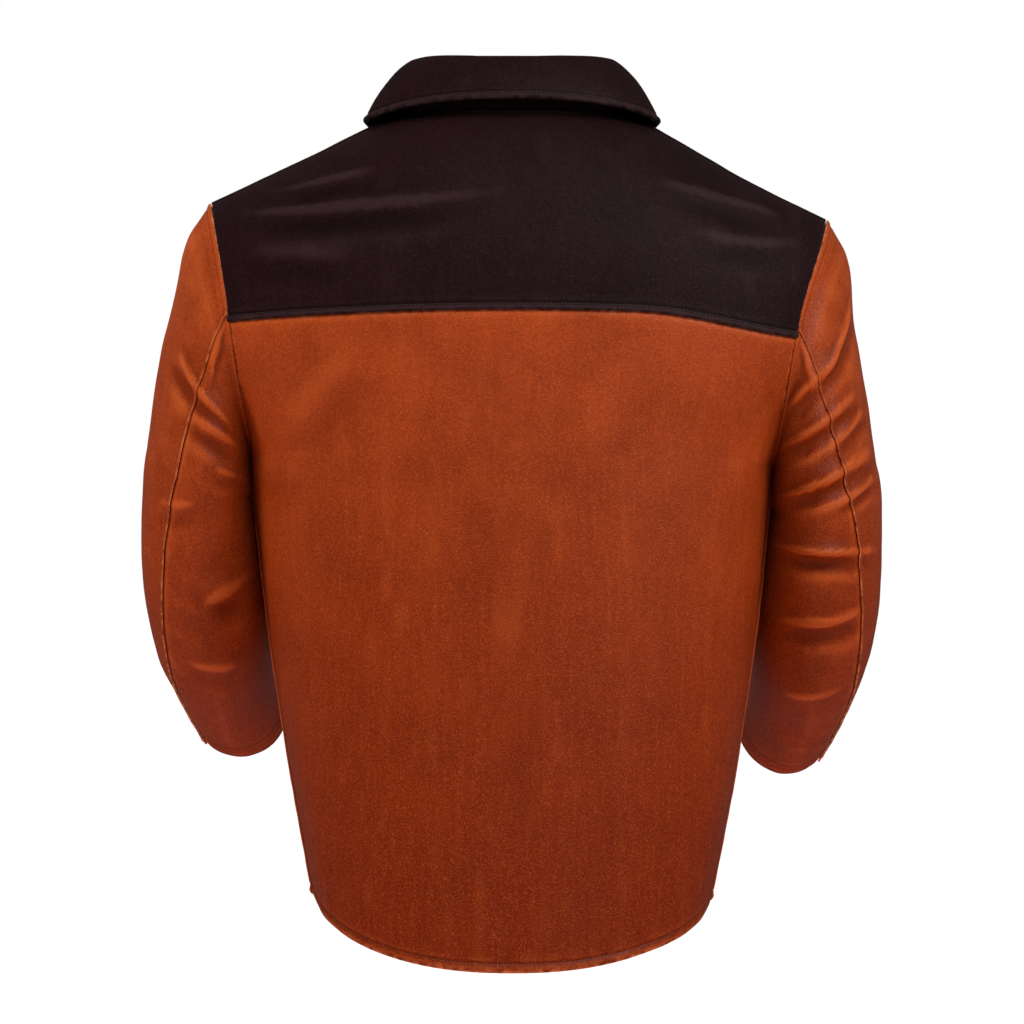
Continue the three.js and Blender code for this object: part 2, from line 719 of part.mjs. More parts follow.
function addSnaps() {
  const yokeDepthAt = (z) => {
    const share = (z - yokeBase) / (shoulderHeight(0) - yokeBase);
    return -bodyHalfDepth * (1 - share ** frontArcPower) ** (1 / frontArcPower);
  };
  const high = -yokeSnapDrop;
  const slope = yokeDepthAt(high + 1) - yokeDepthAt(high - 1);
  addSnap('yoke', point(0, yokeDepthAt(high), high), point(0, -2, slope).normalize());
  for (let index = 0; index < snapCount; index += 1) {
    const z = -yokeDepth - firstSnapBelowYoke - index * snapPitch;
    addSnap(index + 1, point(0, -bodyHalfDepth, z), point(0, -1, 0));
  }
}

addBody();
addFacings();
addHems();
addPocket();
addNeck();
addCollar();
addSleeve('left', 1);
addSleeve('right', -1);
addSnaps();

export default jacket;
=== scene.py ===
"""Leather welding jacket seen from behind: finely laid out hides, stitching and snaps on the CAD frame.

Everything is in metres in the CAD frame: +Z up, the front faces -Y and the wearer's left is +X. Each
hide follows the same outer surface as its CAD node, and gets its folds, rolled edges and stitch
grooves as real shape. Its colour, grain and wear come from node materials, which also paint light:
highlights on crests and edges, shade in troughs, and a top lighter than the hem.
"""

import math

import bpy
import numpy as np
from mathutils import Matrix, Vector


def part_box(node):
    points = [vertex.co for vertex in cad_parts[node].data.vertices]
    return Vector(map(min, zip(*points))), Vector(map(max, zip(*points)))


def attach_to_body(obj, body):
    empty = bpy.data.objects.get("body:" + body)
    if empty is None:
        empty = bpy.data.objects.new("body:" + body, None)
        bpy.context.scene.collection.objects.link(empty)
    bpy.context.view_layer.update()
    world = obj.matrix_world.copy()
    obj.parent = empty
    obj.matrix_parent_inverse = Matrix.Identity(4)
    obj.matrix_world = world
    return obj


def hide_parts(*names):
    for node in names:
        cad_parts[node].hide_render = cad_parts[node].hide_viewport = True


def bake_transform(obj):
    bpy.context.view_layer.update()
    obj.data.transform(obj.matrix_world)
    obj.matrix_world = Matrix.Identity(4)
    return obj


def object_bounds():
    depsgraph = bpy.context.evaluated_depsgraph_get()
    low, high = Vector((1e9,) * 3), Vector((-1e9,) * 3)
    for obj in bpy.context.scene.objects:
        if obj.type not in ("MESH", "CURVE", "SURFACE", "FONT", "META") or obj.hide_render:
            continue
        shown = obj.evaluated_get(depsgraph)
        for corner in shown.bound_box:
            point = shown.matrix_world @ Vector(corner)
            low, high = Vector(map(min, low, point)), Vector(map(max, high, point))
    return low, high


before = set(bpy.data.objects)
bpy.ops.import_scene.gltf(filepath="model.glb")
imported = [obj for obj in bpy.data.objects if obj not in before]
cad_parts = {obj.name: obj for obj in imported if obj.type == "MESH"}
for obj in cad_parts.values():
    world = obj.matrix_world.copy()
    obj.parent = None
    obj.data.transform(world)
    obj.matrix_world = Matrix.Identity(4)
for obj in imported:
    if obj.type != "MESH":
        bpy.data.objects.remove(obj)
cad_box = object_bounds()

mm = 0.001
quarter = math.pi / 2
degree = math.pi / 180

# ---- sizes, as in the CAD

leather = 2.0 * mm
facing = 1.6 * mm
seam_gap = 0.3 * mm
layer_gap = 0.4 * mm

hem_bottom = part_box("back_panel")[0][2]
side_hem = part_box("left_front_panel")[0][2]
tail_drop = side_hem - hem_bottom
tail_power = 2.2
hem_half_width = 177 * mm
chest_half_width = 233 * mm
body_bulge = 6 * mm
body_half_depth = 150 * mm
body_power = 2.4
hem_depth = 26 * mm
hem_ease = 0.5 * mm

underarm = -302 * mm
yoke_depth = 176 * mm
yoke_seam_arch = 10 * mm
yoke_base = -yoke_depth - yoke_seam_arch - 2 * mm
shoulder_half_width = 268 * mm
full_half_width = chest_half_width + 52 * mm
shoulder_slope = 0.48
shoulder_break = 130 * mm
crown_height = 14 * mm
crown_drop = 29 * mm
shoulder_tip = crown_height - crown_drop - shoulder_slope * (shoulder_half_width - shoulder_break)
right_drop = 15 * mm
back_arc_power = 2.3
front_arc_power = 2.0

neck_half_width = 98 * mm
neck_back = 65 * mm
neck_front = 118 * mm
collar_end = 165 * degree
leaf_end = 152 * degree
stand_back = 49 * mm
stand_front = 32 * mm
stand_lean = 0.12
leaf_back = 92 * mm
leaf_side = 133 * mm
leaf_front = 150 * mm
leaf_lift_back = 29 * mm
leaf_lift_side = 9 * mm
leaf_lift_front = 12 * mm
roll_share = 0.35
roll_out = 8 * mm
roll_up = 7 * mm

fold_line = 110 * mm
overlap = 20 * mm
facing_width = 50 * mm
neck_ease = 0.7 * mm
inset_start = 42 * mm

snap_count = 5
snap_pitch = 92 * mm
first_snap = -yoke_depth - 48 * mm
yoke_snap = -138 * mm
snap_gap = 0.5 * mm
cap_radius = 7 * mm
cap_height = 2.6 * mm
socket_radius = 5.5 * mm
socket_height = 1.8 * mm
stud_height = 1.2 * mm
post_height = 1.2 * mm

sleeve_run = 325 * mm
upper_lean = 14 * degree
forearm_lean = 62 * degree
elbow_start = 40 * mm
elbow_end = 200 * mm
sleeve_ease = 1.6 * mm
sleeve_reach = 91 * mm
cuff_reach = 56 * mm
sleeve_bow = 16 * mm
sleeve_forward = 15 * mm
sleeve_drop = 14 * mm
sleeve_tilt = 16 * mm
cap_reach = 37 * mm
cap_fall = 68 * mm
inner_sleeve_drop = 30 * mm
elbow_width = 112 * mm
cuff_width = 84 * mm
armhole_half_depth = 86 * mm
cuff_half_depth = 52 * mm
cuff_hem = 26 * mm
cap_share = 0.3
elbow_share = 0.35
tilt_share = 0.25
seam_share = 0.6

pocket_top = -330 * mm
pocket_height = 160 * mm

facing_depth = leather + layer_gap
socket_depth = facing_depth + facing + snap_gap
stud_depth = socket_depth + socket_height + layer_gap
inset_depth = stud_depth + stud_height + snap_gap
post_depth = inset_depth + facing_depth + facing + snap_gap

# finishing work that only shows here
lap = 1.6 * mm  # how far a lapped hide passes over its seam
cap_lap = 2.6 * mm  # how far the sleeve's cap passes over the armhole's edge
stand_tuck = 3.5 * mm  # how far the collar's stand passes below the neck's edge
tip_spread = 12 * mm  # how much further out the right shoulder tip stands
cap_puff = 5.5 * mm  # how far the sleeve's head puffs out below the shoulder tip
side_rise = 7 * mm  # how much higher the collar stands at its two sides
under_turn = 0.03  # turn by which the under sleeve passes under the top sleeve at their seams
cell = 4.2 * mm  # usual spacing of a hide's grid
stitch_pitch = 3.4 * mm
stitch_length = 2.7 * mm
thread_radius = 0.34 * mm
topstitch = 6.5 * mm  # from a seam or an edge to the row of stitches beside it
hem_stitch = 8.5 * mm


# ---- small helpers


def lerp(start, end, share):
    return start + (end - start) * share


def smooth(value, low, high):
    share = np.clip((value - low) / (high - low), 0, 1)
    return share * share * (3 - 2 * share)


def signed_power(value, power):
    return np.sign(value) * np.abs(value) ** power


def points(x, y, z):
    return np.stack(np.broadcast_arrays(x, y, z), axis=-1).astype(float)


def unit(vectors):
    return vectors / np.maximum(np.linalg.norm(vectors, axis=-1, keepdims=True), 1e-12)


def bump_at(value, centre, width):
    """a smooth hump of height 1"""
    return np.exp(-(((value - centre) / width) ** 2))


# ---- the body's outer surface


def body_half_width(z):
    rise = np.clip((z - underarm) / (yoke_base - underarm), 0, 1)
    swell = (rise + smooth(rise, 0, 1)) / 2
    chest = lerp(chest_half_width, full_half_width, swell)
    low = np.clip((z - side_hem) / (underarm - side_hem), -0.2, 1)
    bow = body_bulge * np.sin(math.pi * np.clip(low, 0, 1))
    return np.where(z >= underarm, chest, lerp(hem_half_width, chest_half_width, low) + bow)


def armhole_edge(z):
    """x of the armhole's edge at a height"""
    rise = np.clip((z - underarm) / (shoulder_tip - underarm), 0, 1)
    return lerp(chest_half_width, shoulder_half_width, rise)


def wall_point(turn, z):
    """turn is 0 at the centre back, a quarter turn at the left side and half a turn at the front"""
    x = body_half_width(z) * signed_power(np.sin(turn), 2 / body_power)
    y = body_half_depth * signed_power(np.cos(turn), 2 / body_power)
    return points(x, y, z)


def turn_at(x, z):
    share = np.clip(np.abs(x) / body_half_width(z), 0, 1)
    return np.arcsin(share ** (body_power / 2))


def side_turn(z):
    """turn of the side seam, or of the armhole's edge above the underarm"""
    return np.where(z <= underarm, quarter, turn_at(armhole_edge(z), z))


def body_depth_at(x, z):
    share = np.clip(np.abs(x) / body_half_width(z), 0, 1)
    return body_half_depth * (1 - share**body_power) ** (1 / body_power)


def body_width_at(y, z):
    share = np.clip(np.abs(y) / body_half_depth, 0, 1)
    return body_half_width(z) * (1 - share**body_power) ** (1 / body_power)


def shoulder_height(x):
    half = np.abs(x)
    crown = crown_height - crown_drop * (half / shoulder_break) ** 2
    slope = crown_height - crown_drop - shoulder_slope * (half - shoulder_break)
    return np.where(half < shoulder_break, crown, slope)


def arc_power(side):
    return back_arc_power if side > 0 else front_arc_power


def yoke_point(x, lift, side):
    """side is 1 on the back and -1 on the front; lift runs from the yoke's base to the shoulder line"""
    power = 2 / arc_power(side)
    y = side * body_depth_at(x, yoke_base) * np.clip(np.cos(lift), 0, 1) ** power
    z = yoke_base + (shoulder_height(x) - yoke_base) * np.clip(np.sin(lift), 0, 1) ** power
    return points(x, y, z)


def yoke_height_at(x, y):
    power = np.where(y > 0, back_arc_power, front_arc_power)
    share = np.clip(np.abs(y) / body_depth_at(x, yoke_base), 0, 1)
    return yoke_base + (shoulder_height(x) - yoke_base) * (1 - share**power) ** (1 / power)


def yoke_seam(x):
    return -yoke_depth - yoke_seam_arch * (x / armhole_edge(yoke_base)) ** 2


def seam_lift(x, side, extra=0.0):
    """lift of the yoke's lower edge, some extra above its seam"""
    share = (yoke_seam(x) + extra - yoke_base) / (shoulder_height(x) - yoke_base)
    return np.arcsin(np.clip(share, 0, 1) ** (arc_power(side) / 2))


def top_lift(x, side):
    """lift of the yoke's upper edge: the shoulder line, or the edge of the neck opening"""
    neck = neck_back if side > 0 else neck_front
    half = np.clip(np.abs(x) / neck_half_width, 0, 1)
    share = neck * np.sqrt(1 - half * half) / body_depth_at(x, yoke_base)
    return np.minimum(quarter - 0.002, np.arccos(np.clip(share, 0, 1) ** (arc_power(side) / 2)))


def neck_point(turn):
    x = neck_half_width * np.sin(turn)
    y = np.where(np.cos(turn) > 0, neck_back, neck_front) * np.cos(turn)
    return points(x, y, yoke_height_at(x, y))


def back_hem(turn):
    x = np.clip(np.abs(np.sin(turn)) ** (2 / body_power), 0, 1)
    return hem_bottom + tail_drop * (1 - np.sqrt(1 - x**tail_power))


def settle(place):
    """the whole right side hangs a little lower than the left, and its shoulder tip stands further out"""
    lower = right_drop * smooth(-place[..., 0], fold_line, shoulder_half_width)
    wider = tip_spread * smooth(-place[..., 0], 0.7 * shoulder_half_width, shoulder_half_width)
    wider = wider * bump_at(place[..., 2], shoulder_tip, 70 * mm)
    place[..., 2] -= np.where(place[..., 0] < 0, lower, 0)
    place[..., 0] -= np.where(place[..., 0] < 0, wider, 0)
    return place


# ---- the pieces' own surfaces


def back_surface(u, v):
    side = 2 * u - 1
    seam = yoke_seam(wall_point(side * side_turn(yoke_base), yoke_base)[..., 0])
    z = lerp(back_hem(side * quarter), seam - seam_gap, v)
    return wall_point(side * side_turn(z), z)


def front_turn(share, z):
    """turn at a share of the way from the side seam to the fold line"""
    side = side_turn(z) + np.where(z <= underarm, lap / body_half_width(z), 0)
    return math.pi - lerp(side, turn_at(fold_line, z), share)


def side_front_surface(sign):
    def surface(u, v):
        seam = yoke_seam(wall_point(front_turn(u, yoke_base), yoke_base)[..., 0])
        z = lerp(side_hem, seam - seam_gap, v)
        return wall_point(sign * front_turn(u, z), z)

    return surface


def front_surface(sign, inner=fold_line):
    """the front edge, or the facing inside it, from its closing edge out to an inner line"""

    def surface(u, v):
        x = sign * lerp(-overlap, inner, u)
        z = lerp(side_hem, yoke_seam(x) - seam_gap, v)
        return points(x, -body_depth_at(x, z), z)

    return surface


def across_yoke(half, v, side):
    """x on a yoke: even turns around the neck, then even steps out to the armhole"""
    neck_part = 0.5
    around = neck_half_width * np.sin(np.clip(half / neck_part, 0, 1) * quarter)
    edge = armhole_edge(yoke_point(shoulder_half_width, v * quarter, side)[..., 2])
    out = lerp(neck_half_width, edge, (half - neck_part) / (1 - neck_part))
    return np.where(half < neck_part, around, out)


def back_yoke_surface(u, v):
    side = 2 * u - 1
    x = np.sign(side) * across_yoke(np.abs(side), v, 1)
    return yoke_point(x, lerp(seam_lift(x, 1, -lap), top_lift(x, 1), v), 1)


def front_yoke_surface(sign, width=None):
    """the front yoke, or the facing inside it if a width is given"""

    def surface(u, v):
        edge_part = 0.08
        past = lerp(-overlap, 0, np.clip(u / edge_part, 0, 1))
        half = np.clip((u - edge_part) / (1 - edge_part), 0, 1)
        x = sign * np.where(u < edge_part, past, across_yoke(half, v, -1))
        if width:
            x = sign * lerp(-overlap, width, u)
        extra = seam_gap if width else -lap
        return yoke_point(x, lerp(seam_lift(x, -1, extra), top_lift(x, -1), v), -1)

    return surface


def neck_layer(half_width, low, high):
    """a patch inside the back yoke, between two shares of its rise"""

    def surface(u, v):
        x = half_width * np.sin((2 * u - 1) * 75 * degree) / math.sin(75 * degree)
        return yoke_point(x, lerp(seam_lift(x, 1), top_lift(x, 1), lerp(low, high, v)), 1)

    return surface


def pocket_surface(u, v):
    z = lerp(pocket_top - pocket_height, pocket_top, v)
    return wall_point(front_turn(lerp(1 / 7, 6 / 7, u), z), z)


def stand_surface(u, v):
    turn = lerp(-collar_end, collar_end, u)
    seam = neck_point(turn)
    height = lerp(stand_back, stand_front, (np.abs(turn) / collar_end) ** 1.5) + side_rise * np.sin(turn) ** 2
    narrow = 1 - stand_lean * v
    z = seam[..., 2] + height * v - stand_tuck * (1 - v) ** 8
    return points(seam[..., 0] * narrow, seam[..., 1] * narrow, z)


def leaf_edge(turn):
    x = leaf_side * np.sin(turn)
    to_back = np.cos(turn) > 0
    y = np.where(to_back, leaf_back, leaf_front) * np.cos(turn)
    end_lift = np.where(to_back, leaf_lift_back, leaf_lift_front)
    lift = lerp(leaf_lift_side, end_lift, np.cos(turn) ** 2)
    return points(x, y, yoke_height_at(x, y) + lift)


def leaf_surface(u, v):
    """the fall of the collar, from its fold line (v = 1) down to its edge (v = 0)"""
    fold = stand_surface(u, np.ones_like(u))
    out = unit(fold * [1, 1, 0])
    fold = fold + out * (leather + facing + 2 * layer_gap)
    edge = leaf_edge((2 * u - 1) * leaf_end)
    roll = lerp(fold, edge, roll_share) + out * roll_out + points(0, 0, roll_up)
    up, down = v[..., None], 1 - v[..., None]
    return fold * up * up + roll * 2 * up * down + edge * down * down


# ---- sleeves


def armhole_point(around):
    """around is 0 at the top of the armhole, a quarter turn at its back, half a turn at the underarm"""
    middle, half = (shoulder_tip + underarm) / 2, (shoulder_tip - underarm) / 2
    target = middle + half * np.cos(around)
    side = np.where(np.sin(around) >= 0, 1, -1)
    x = armhole_edge(target)
    wall = points(x, side * body_depth_at(x, target), target)
    share = np.clip((target - yoke_base) / (shoulder_tip - yoke_base), 0, 1)
    arcs = []
    for way in (1, -1):
        lift = np.arcsin(share ** (arc_power(way) / 2))
        edge = armhole_edge(yoke_point(shoulder_half_width, lift, way)[..., 2])
        arcs.append(yoke_point(edge, lift, way))
    arc = np.where((side > 0)[..., None], arcs[0], arcs[1])
    return np.where((target <= yoke_base)[..., None], wall, arc)


def traced_path():
    """the sleeve's centre line: distances along it, y and z"""
    distance = np.linspace(0, sleeve_run, 400)
    lean = path_lean((distance[1:] + distance[:-1]) / 2)
    step = np.diff(distance)
    y = -sleeve_forward - np.concatenate([[0], np.cumsum(step * np.sin(lean))])
    z = underarm - sleeve_drop - np.concatenate([[0], np.cumsum(step * np.cos(lean))])
    return distance, y, z


def path_lean(distance):
    return lerp(upper_lean, forearm_lean, smooth(distance, elbow_start, elbow_end))


path_distance, path_y, path_z = traced_path()


def cap_ring(share):
    """outline over the cap, from the armhole to the underarm's level: centre, half width, half depth"""
    left, right = (1 - share) ** 2, share**2
    middle = 2 * share * (1 - share)
    start_x, start_z = shoulder_half_width, shoulder_tip
    bend_x, bend_z = shoulder_half_width + cap_reach, shoulder_tip - cap_fall
    end_x, end_z = chest_half_width + sleeve_reach, underarm + leather
    outer_x = left * start_x + middle * bend_x + right * end_x
    outer_z = left * start_z + middle * bend_z + right * end_z
    inner_level = underarm - inner_sleeve_drop
    inner_x = lerp(chest_half_width, body_width_at(-sleeve_forward, inner_level) + sleeve_ease, share)
    inner_z = lerp(underarm, inner_level, share)
    centre = points((outer_x + inner_x) / 2, -sleeve_forward * share, (outer_z + inner_z) / 2)
    wide = points((outer_x - inner_x) / 2, 0, (outer_z - inner_z) / 2)
    start_depth = body_depth_at(armhole_edge(yoke_base), yoke_base)
    half_depth = lerp(start_depth, armhole_half_depth, share)
    flat = lerp(1, math.cos(upper_lean), share)
    deep = points(0, half_depth * flat, -half_depth * math.sin(upper_lean) * share)
    return centre, wide, deep


def arm_ring(share):
    distance = share * sleeve_run
    y, z = np.interp(distance, path_distance, path_y), np.interp(distance, path_distance, path_z)
    lean = path_lean(distance)
    bow = sleeve_bow * np.sin(math.pi * share**0.8)
    outer = chest_half_width + lerp(sleeve_reach, cuff_reach, share) + bow
    width = lerp(elbow_width, cuff_width, smooth(share, elbow_share, 1))
    inner = np.maximum(body_width_at(y, z) + sleeve_ease, outer - width)
    half_depth = lerp(armhole_half_depth, cuff_half_depth, share)
    tilt = sleeve_tilt * (1 - smooth(share, 0, tilt_share))
    centre = points((outer + inner) / 2, y, z)
    wide = points((outer - inner) / 2, 0, tilt)
    deep = points(0, half_depth * np.cos(lean), -half_depth * np.sin(lean))
    return centre, wide, deep


def sleeve_ring(down):
    cap = cap_ring(np.clip(down / cap_share, 0, 1))
    arm = arm_ring(np.clip((down - cap_share) / (1 - cap_share), 0, 1))
    on_cap = (down < cap_share)[..., None]
    return [np.where(on_cap, first, second) for first, second in zip(cap, arm)]


def sleeve_point(around, down):
    around, down = np.broadcast_arrays(np.asarray(around, float), np.asarray(down, float))
    centre, wide, deep = sleeve_ring(down)
    cosine, sine = np.cos(around)[..., None], np.sin(around)[..., None]
    place = centre + wide * cosine + deep * sine
    start = cap_ring(np.zeros_like(down))
    oval = start[0] + start[1] * cosine + start[2] * sine
    fitted = 1 - smooth(down, 0, cap_share * 0.8)
    place = place + (armhole_point(around) - oval) * fitted[..., None]
    place[..., 0] += 2 * seam_gap + leather * np.maximum(0, np.cos(around)) ** 2
    return place


def back_seam(down):
    return lerp(84 * degree, 46 * degree, smooth(down, 0, seam_share))


def front_seam(down):
    return lerp(-80 * degree, -62 * degree, smooth(down, 0, seam_share))


def sleeve_surface(sign, part):
    """one hide of a sleeve; v runs down the arm"""

    def surface(u, v):
        if part == "top":
            around = lerp(front_seam(v), back_seam(v), u)
        else:
            around = lerp(back_seam(v) - under_turn, front_seam(v) + 4 * quarter + under_turn, u)
        place = sleeve_point(around, v)
        place[..., 0] -= cap_lap * (1 - smooth(v, 0, 0.02)) * smooth(np.cos(around), -0.5, 0.3)
        return place * [sign, 1, 1]

    return surface


hem_start = 1 - cuff_hem / sleeve_run * (1 - cap_share)


def cuff_surface(sign):
    def surface(u, v):
        return sleeve_point(u * 4 * quarter, lerp(hem_start, 1, v)) * [sign, 1, 1]

    return surface


# ---- folds


def soft_noise(place, size, seed):
    """a smooth random field from -1 to 1 with lumps of about this size; size may differ by axis"""
    cells = 24
    lattice = np.random.default_rng(seed).uniform(-1, 1, (cells, cells, cells))
    scaled = place / np.asarray(size) + cells * 4
    whole = np.floor(scaled).astype(int)
    share = scaled - whole
    share = share * share * (3 - 2 * share)
    total = np.zeros(place.shape[:-1])
    for corner in np.ndindex(2, 2, 2):
        weight = np.ones(place.shape[:-1])
        for axis in range(3):
            weight = weight * np.where(corner[axis], share[..., axis], 1 - share[..., axis])
        index = [(whole[..., axis] + corner[axis]) % cells for axis in range(3)]
        total += weight * lattice[tuple(index)]
    return total


def waves(place, layers):
    """sum of random fields, each with its height, the size of its lumps and its seed"""
    total = np.zeros(place.shape[:-1])
    for height, size, seed in layers:
        total += height * soft_noise(place, size, seed)
    return total


valley = 0.6  # depth of the dip beside a fold, as a share of its crest
dip_place = 1.7  # how far out the dip lies, in half widths
narrow_fold, wide_fold = 8 * mm, 13 * mm
rising, falling = 0.42, 0.55  # shares of its path where a fold is full grown and where it starts to fade


def fold(place, path, width, height):
    """lift of one fold seen square on: a crest along a path of three (x, z) points and a dip beside it

    A narrow fold is pinched to a thin crest on a broad shoulder, and a wide one stays round.
    The dip lies on the lower side, or on the upper side where width is negative.
    """
    start, bend, end = (np.array(corner) * mm for corner in path)
    rightward = 1 if end[0] >= start[0] else -1
    steps = np.linspace(0, 1, 15)[:, None]
    line = start * (1 - steps) ** 2 + bend * 2 * steps * (1 - steps) + end * steps**2
    flat = place[..., [0, 2]]
    nearest = np.full(flat.shape[:-1], np.inf)
    offset = np.zeros(flat.shape[:-1])
    along = np.zeros(flat.shape[:-1])
    for index in range(len(line) - 1):
        run = line[index + 1] - line[index]
        share = np.clip(((flat - line[index]) @ run) / (run @ run), 0, 1)
        away = flat - line[index] - share[..., None] * run
        distance = np.linalg.norm(away, axis=-1)
        closer = distance < nearest
        upward = np.sign(run[0] * away[..., 1] - run[1] * away[..., 0]) * rightward
        nearest = np.where(closer, distance, nearest)
        offset = np.where(closer, distance * upward, offset)
        along = np.where(closer, (index + share) / (len(line) - 1), along)
    reach = abs(width) * mm
    pinched = 0.5 * (1 - smooth(reach, narrow_fold, wide_fold))
    crest = pinched * bump_at(offset, 0, 0.45 * reach) + (1.1 - pinched) * bump_at(offset, 0, 1.4 * reach)
    profile = crest - valley * bump_at(offset, -dip_place * width * mm, 1.1 * reach)
    taper = smooth(along, 0, rising) * (1 - smooth(along, falling, 1))
    return height * mm * profile * taper


# each fold: three (x, z) points in millimetres, half width of its crest and its height
yoke_folds = [
    ([(262, -92), (165, -90), (-20, -70)], 9, 2.6),
    ([(222, -75), (165, -62), (112, -50)], 7, 1.8),
    ([(-118, -58), (-190, -80), (-262, -101)], 8, 2.6),
    ([(-150, -104), (-215, -124), (-262, -116)], 9, 2.2),
    ([(250, -128), (190, -122), (120, -132)], 11, 1.4),
]
back_folds = [
    ([(120, -196), (190, -250), (216, -322)], 15, 3.0),
    ([(-238, -250), (-205, -300), (-188, -372)], 13, 1.6),
    ([(228, -300), (205, -318), (168, -322)], 13, 0.9),
    ([(96, -300), (112, -480), (92, -690)], 30, 1.4),
]
right_back_folds = [
    ([(-290, -214), (-262, -240), (-216, -300)], 6.0, 3.8),
    ([(-306, -246), (-268, -292), (-204, -314)], 6.5, 4.8),
    ([(-322, -296), (-272, -346), (-196, -346)], 6.5, 5.4),
    ([(-330, -388), (-266, -398), (-192, -372)], 7.0, 5.2),
    ([(-300, -160), (-292, -204), (-262, -262)], 6.0, 3.0),
    ([(-312, -262), (-300, -284), (-276, -304)], 4.5, 2.4),
    ([(-322, -322), (-306, -342), (-282, -352)], 4.0, 2.2),
    ([(-318, -436), (-280, -466), (-226, -446)], 8.0, 3.0),
    ([(-310, -504), (-268, -536), (-226, -508)], 8.0, 2.2),
]
left_back_folds = [
    ([(296, -208), (282, -250), (238, -292)], 6.0, 3.4),
    ([(284, -262), (262, -294), (204, -318)], 7.0, 3.6),
    ([(266, -316), (242, -328), (194, -332)], 5.5, 3.0),
    ([(280, -440), (252, -428), (190, -372)], 10.0, 3.4),
    ([(318, -344), (300, -352), (274, -348)], 9.0, 1.4),
    ([(300, -486), (268, -502), (232, -488)], 9.0, 1.6),
]
front_sleeve_folds = [
    ([(232, -300), (272, -338), (322, -330)], 7.0, 4.0),
    ([(230, -342), (275, -366), (324, -352)], 6.0, 4.6),
    ([(232, -384), (272, -392), (322, -380)], 6.0, 5.0),
    ([(232, -424), (276, -418), (318, -402)], 6.0, 4.2),
    ([(240, -206), (270, -256), (312, -284)], 8.0, 3.4),
    ([(240, -470), (275, -462), (306, -450)], 8.0, 2.6),
]
front_body_folds = [
    ([(205, -240), (176, -330), (130, -420)], 14, 3.0),
    ([(120, -200), (138, -400), (118, -600)], -20, 2.0),
    ([(196, -420), (172, -520), (178, -640)], 15, 1.8),
]


def mirrored(folds, weaker=1.0):
    return [([(-x, z) for x, z in path], width, height * weaker) for path, width, height in folds]


def fold_sum(place, folds):
    total = np.zeros(place.shape[:-1])
    for path, width, height in folds:
        total += fold(place, path, width, height)
    return total


body_waves = [
    (2.0 * mm, (0.13, 0.13, 0.26), 3),
    (0.7 * mm, (0.035, 0.035, 0.09), 5),
    (0.22 * mm, (0.014, 0.014, 0.03), 8),
]


def body_relief(place, normal, inward):
    """folds and soft waves of the body; inward is the distance from the armhole's edge"""
    to_back = smooth(normal[..., 1], -0.15, 0.3)
    back = fold_sum(place, yoke_folds + back_folds)
    front = fold_sum(place, front_body_folds) + fold_sum(place, mirrored(front_body_folds, 0.8))
    to_front = (1 - to_back) * smooth(-normal[..., 1], 0, 0.4)
    total = waves(place, body_waves) + back * to_back + front * to_front
    near_armhole = smooth(place[..., 2], underarm - 70 * mm, underarm + 30 * mm)
    return total * (1 - near_armhole * (1 - smooth(inward, 0, 30 * mm)))


def sleeve_relief(sign):
    """folds, soft waves and the puffed head of a sleeve"""
    if sign > 0:
        back_folds_here, front_folds_here, lower = left_back_folds, front_sleeve_folds, 0
    else:
        back_folds_here, front_folds_here, lower = right_back_folds, mirrored(front_sleeve_folds), right_drop
    sleeve_waves = [
        (1.8 * mm, (0.05, 0.05, 0.07), 11 + sign),
        (0.5 * mm, (0.02, 0.02, 0.026), 17 + sign),
        (0.16 * mm, (0.009, 0.009, 0.014), 23),
    ]
    strength = 1.9
    at_seam, seam_reach = 0.45, 12 * mm  # a seam holds the folds down over a short reach
    beside_body_lift = 1.6 * mm

    def relief(place, normal, v, gaps):
        facing_back = normal[..., 1] + 0.4 * normal[..., 2]
        folds = fold_sum(place, back_folds_here) * smooth(facing_back, -0.05, 0.45)
        folds = folds + fold_sum(place + [0, 0, lower], front_folds_here) * smooth(-facing_back, 0.0, 0.4)
        to_seam = np.minimum(gaps["start"], gaps["end"]) if gaps else np.ones(v.shape)
        held_by_seam = lerp(at_seam, 1, smooth(to_seam, 0, seam_reach))
        total = waves(place, sleeve_waves) + strength * folds * held_by_seam
        beside_body = smooth(-sign * normal[..., 0], 0.3, 0.95)
        total = total * (1 - 0.9 * beside_body) + beside_body_lift * beside_body
        outside = smooth(sign * normal[..., 0], 0.2, 0.7)
        puff = cap_puff * bump_at(v, 0.075, 0.055) * smooth(v, 0, 0.06) * outside
        return total * smooth(v, 0.0, 0.08) + puff

    return relief


# ---- building a hide

rolled = np.array([0.25, 0.7, 1.4, 2.4]) * mm
stitched = np.array([0.25, 0.7, 1.4, 2.4, 3.4, 4.4, 5.4, 6.2, 7.0, 7.8, 8.6, 9.6, 11, 13]) * mm


def spaced(length, start=rolled, end=rolled, spacing=cell):
    """shares along a side: even cells, with closer lines near its two edges"""
    even = np.linspace(0, 1, max(int(length / spacing), 3) + 1)
    even = even[(even * length > start[-1] + spacing / 3) & ((1 - even) * length > end[-1] + spacing / 3)]
    return np.concatenate([[0], start / length, even, 1 - end[::-1] / length, [1]])


def lay_out(surface, us, vs, core, wraps=False):
    """grid of points on a surface with their outward normals"""
    u, v = np.meshgrid(us, vs, indexing="ij")
    step = 1e-3
    low, high = (u - step, u + step) if wraps else (np.maximum(u - step, 0), np.minimum(u + step, 1))
    along_u = surface(high, v) - surface(low, v)
    along_v = surface(u, np.minimum(v + step, 1)) - surface(u, np.maximum(v - step, 0))
    here = surface(u, v)
    normal = unit(np.cross(along_u, along_v))
    inward = ((here - core(here, v)) * normal).sum(-1) < 0
    normal[inward] *= -1
    return v, here, normal


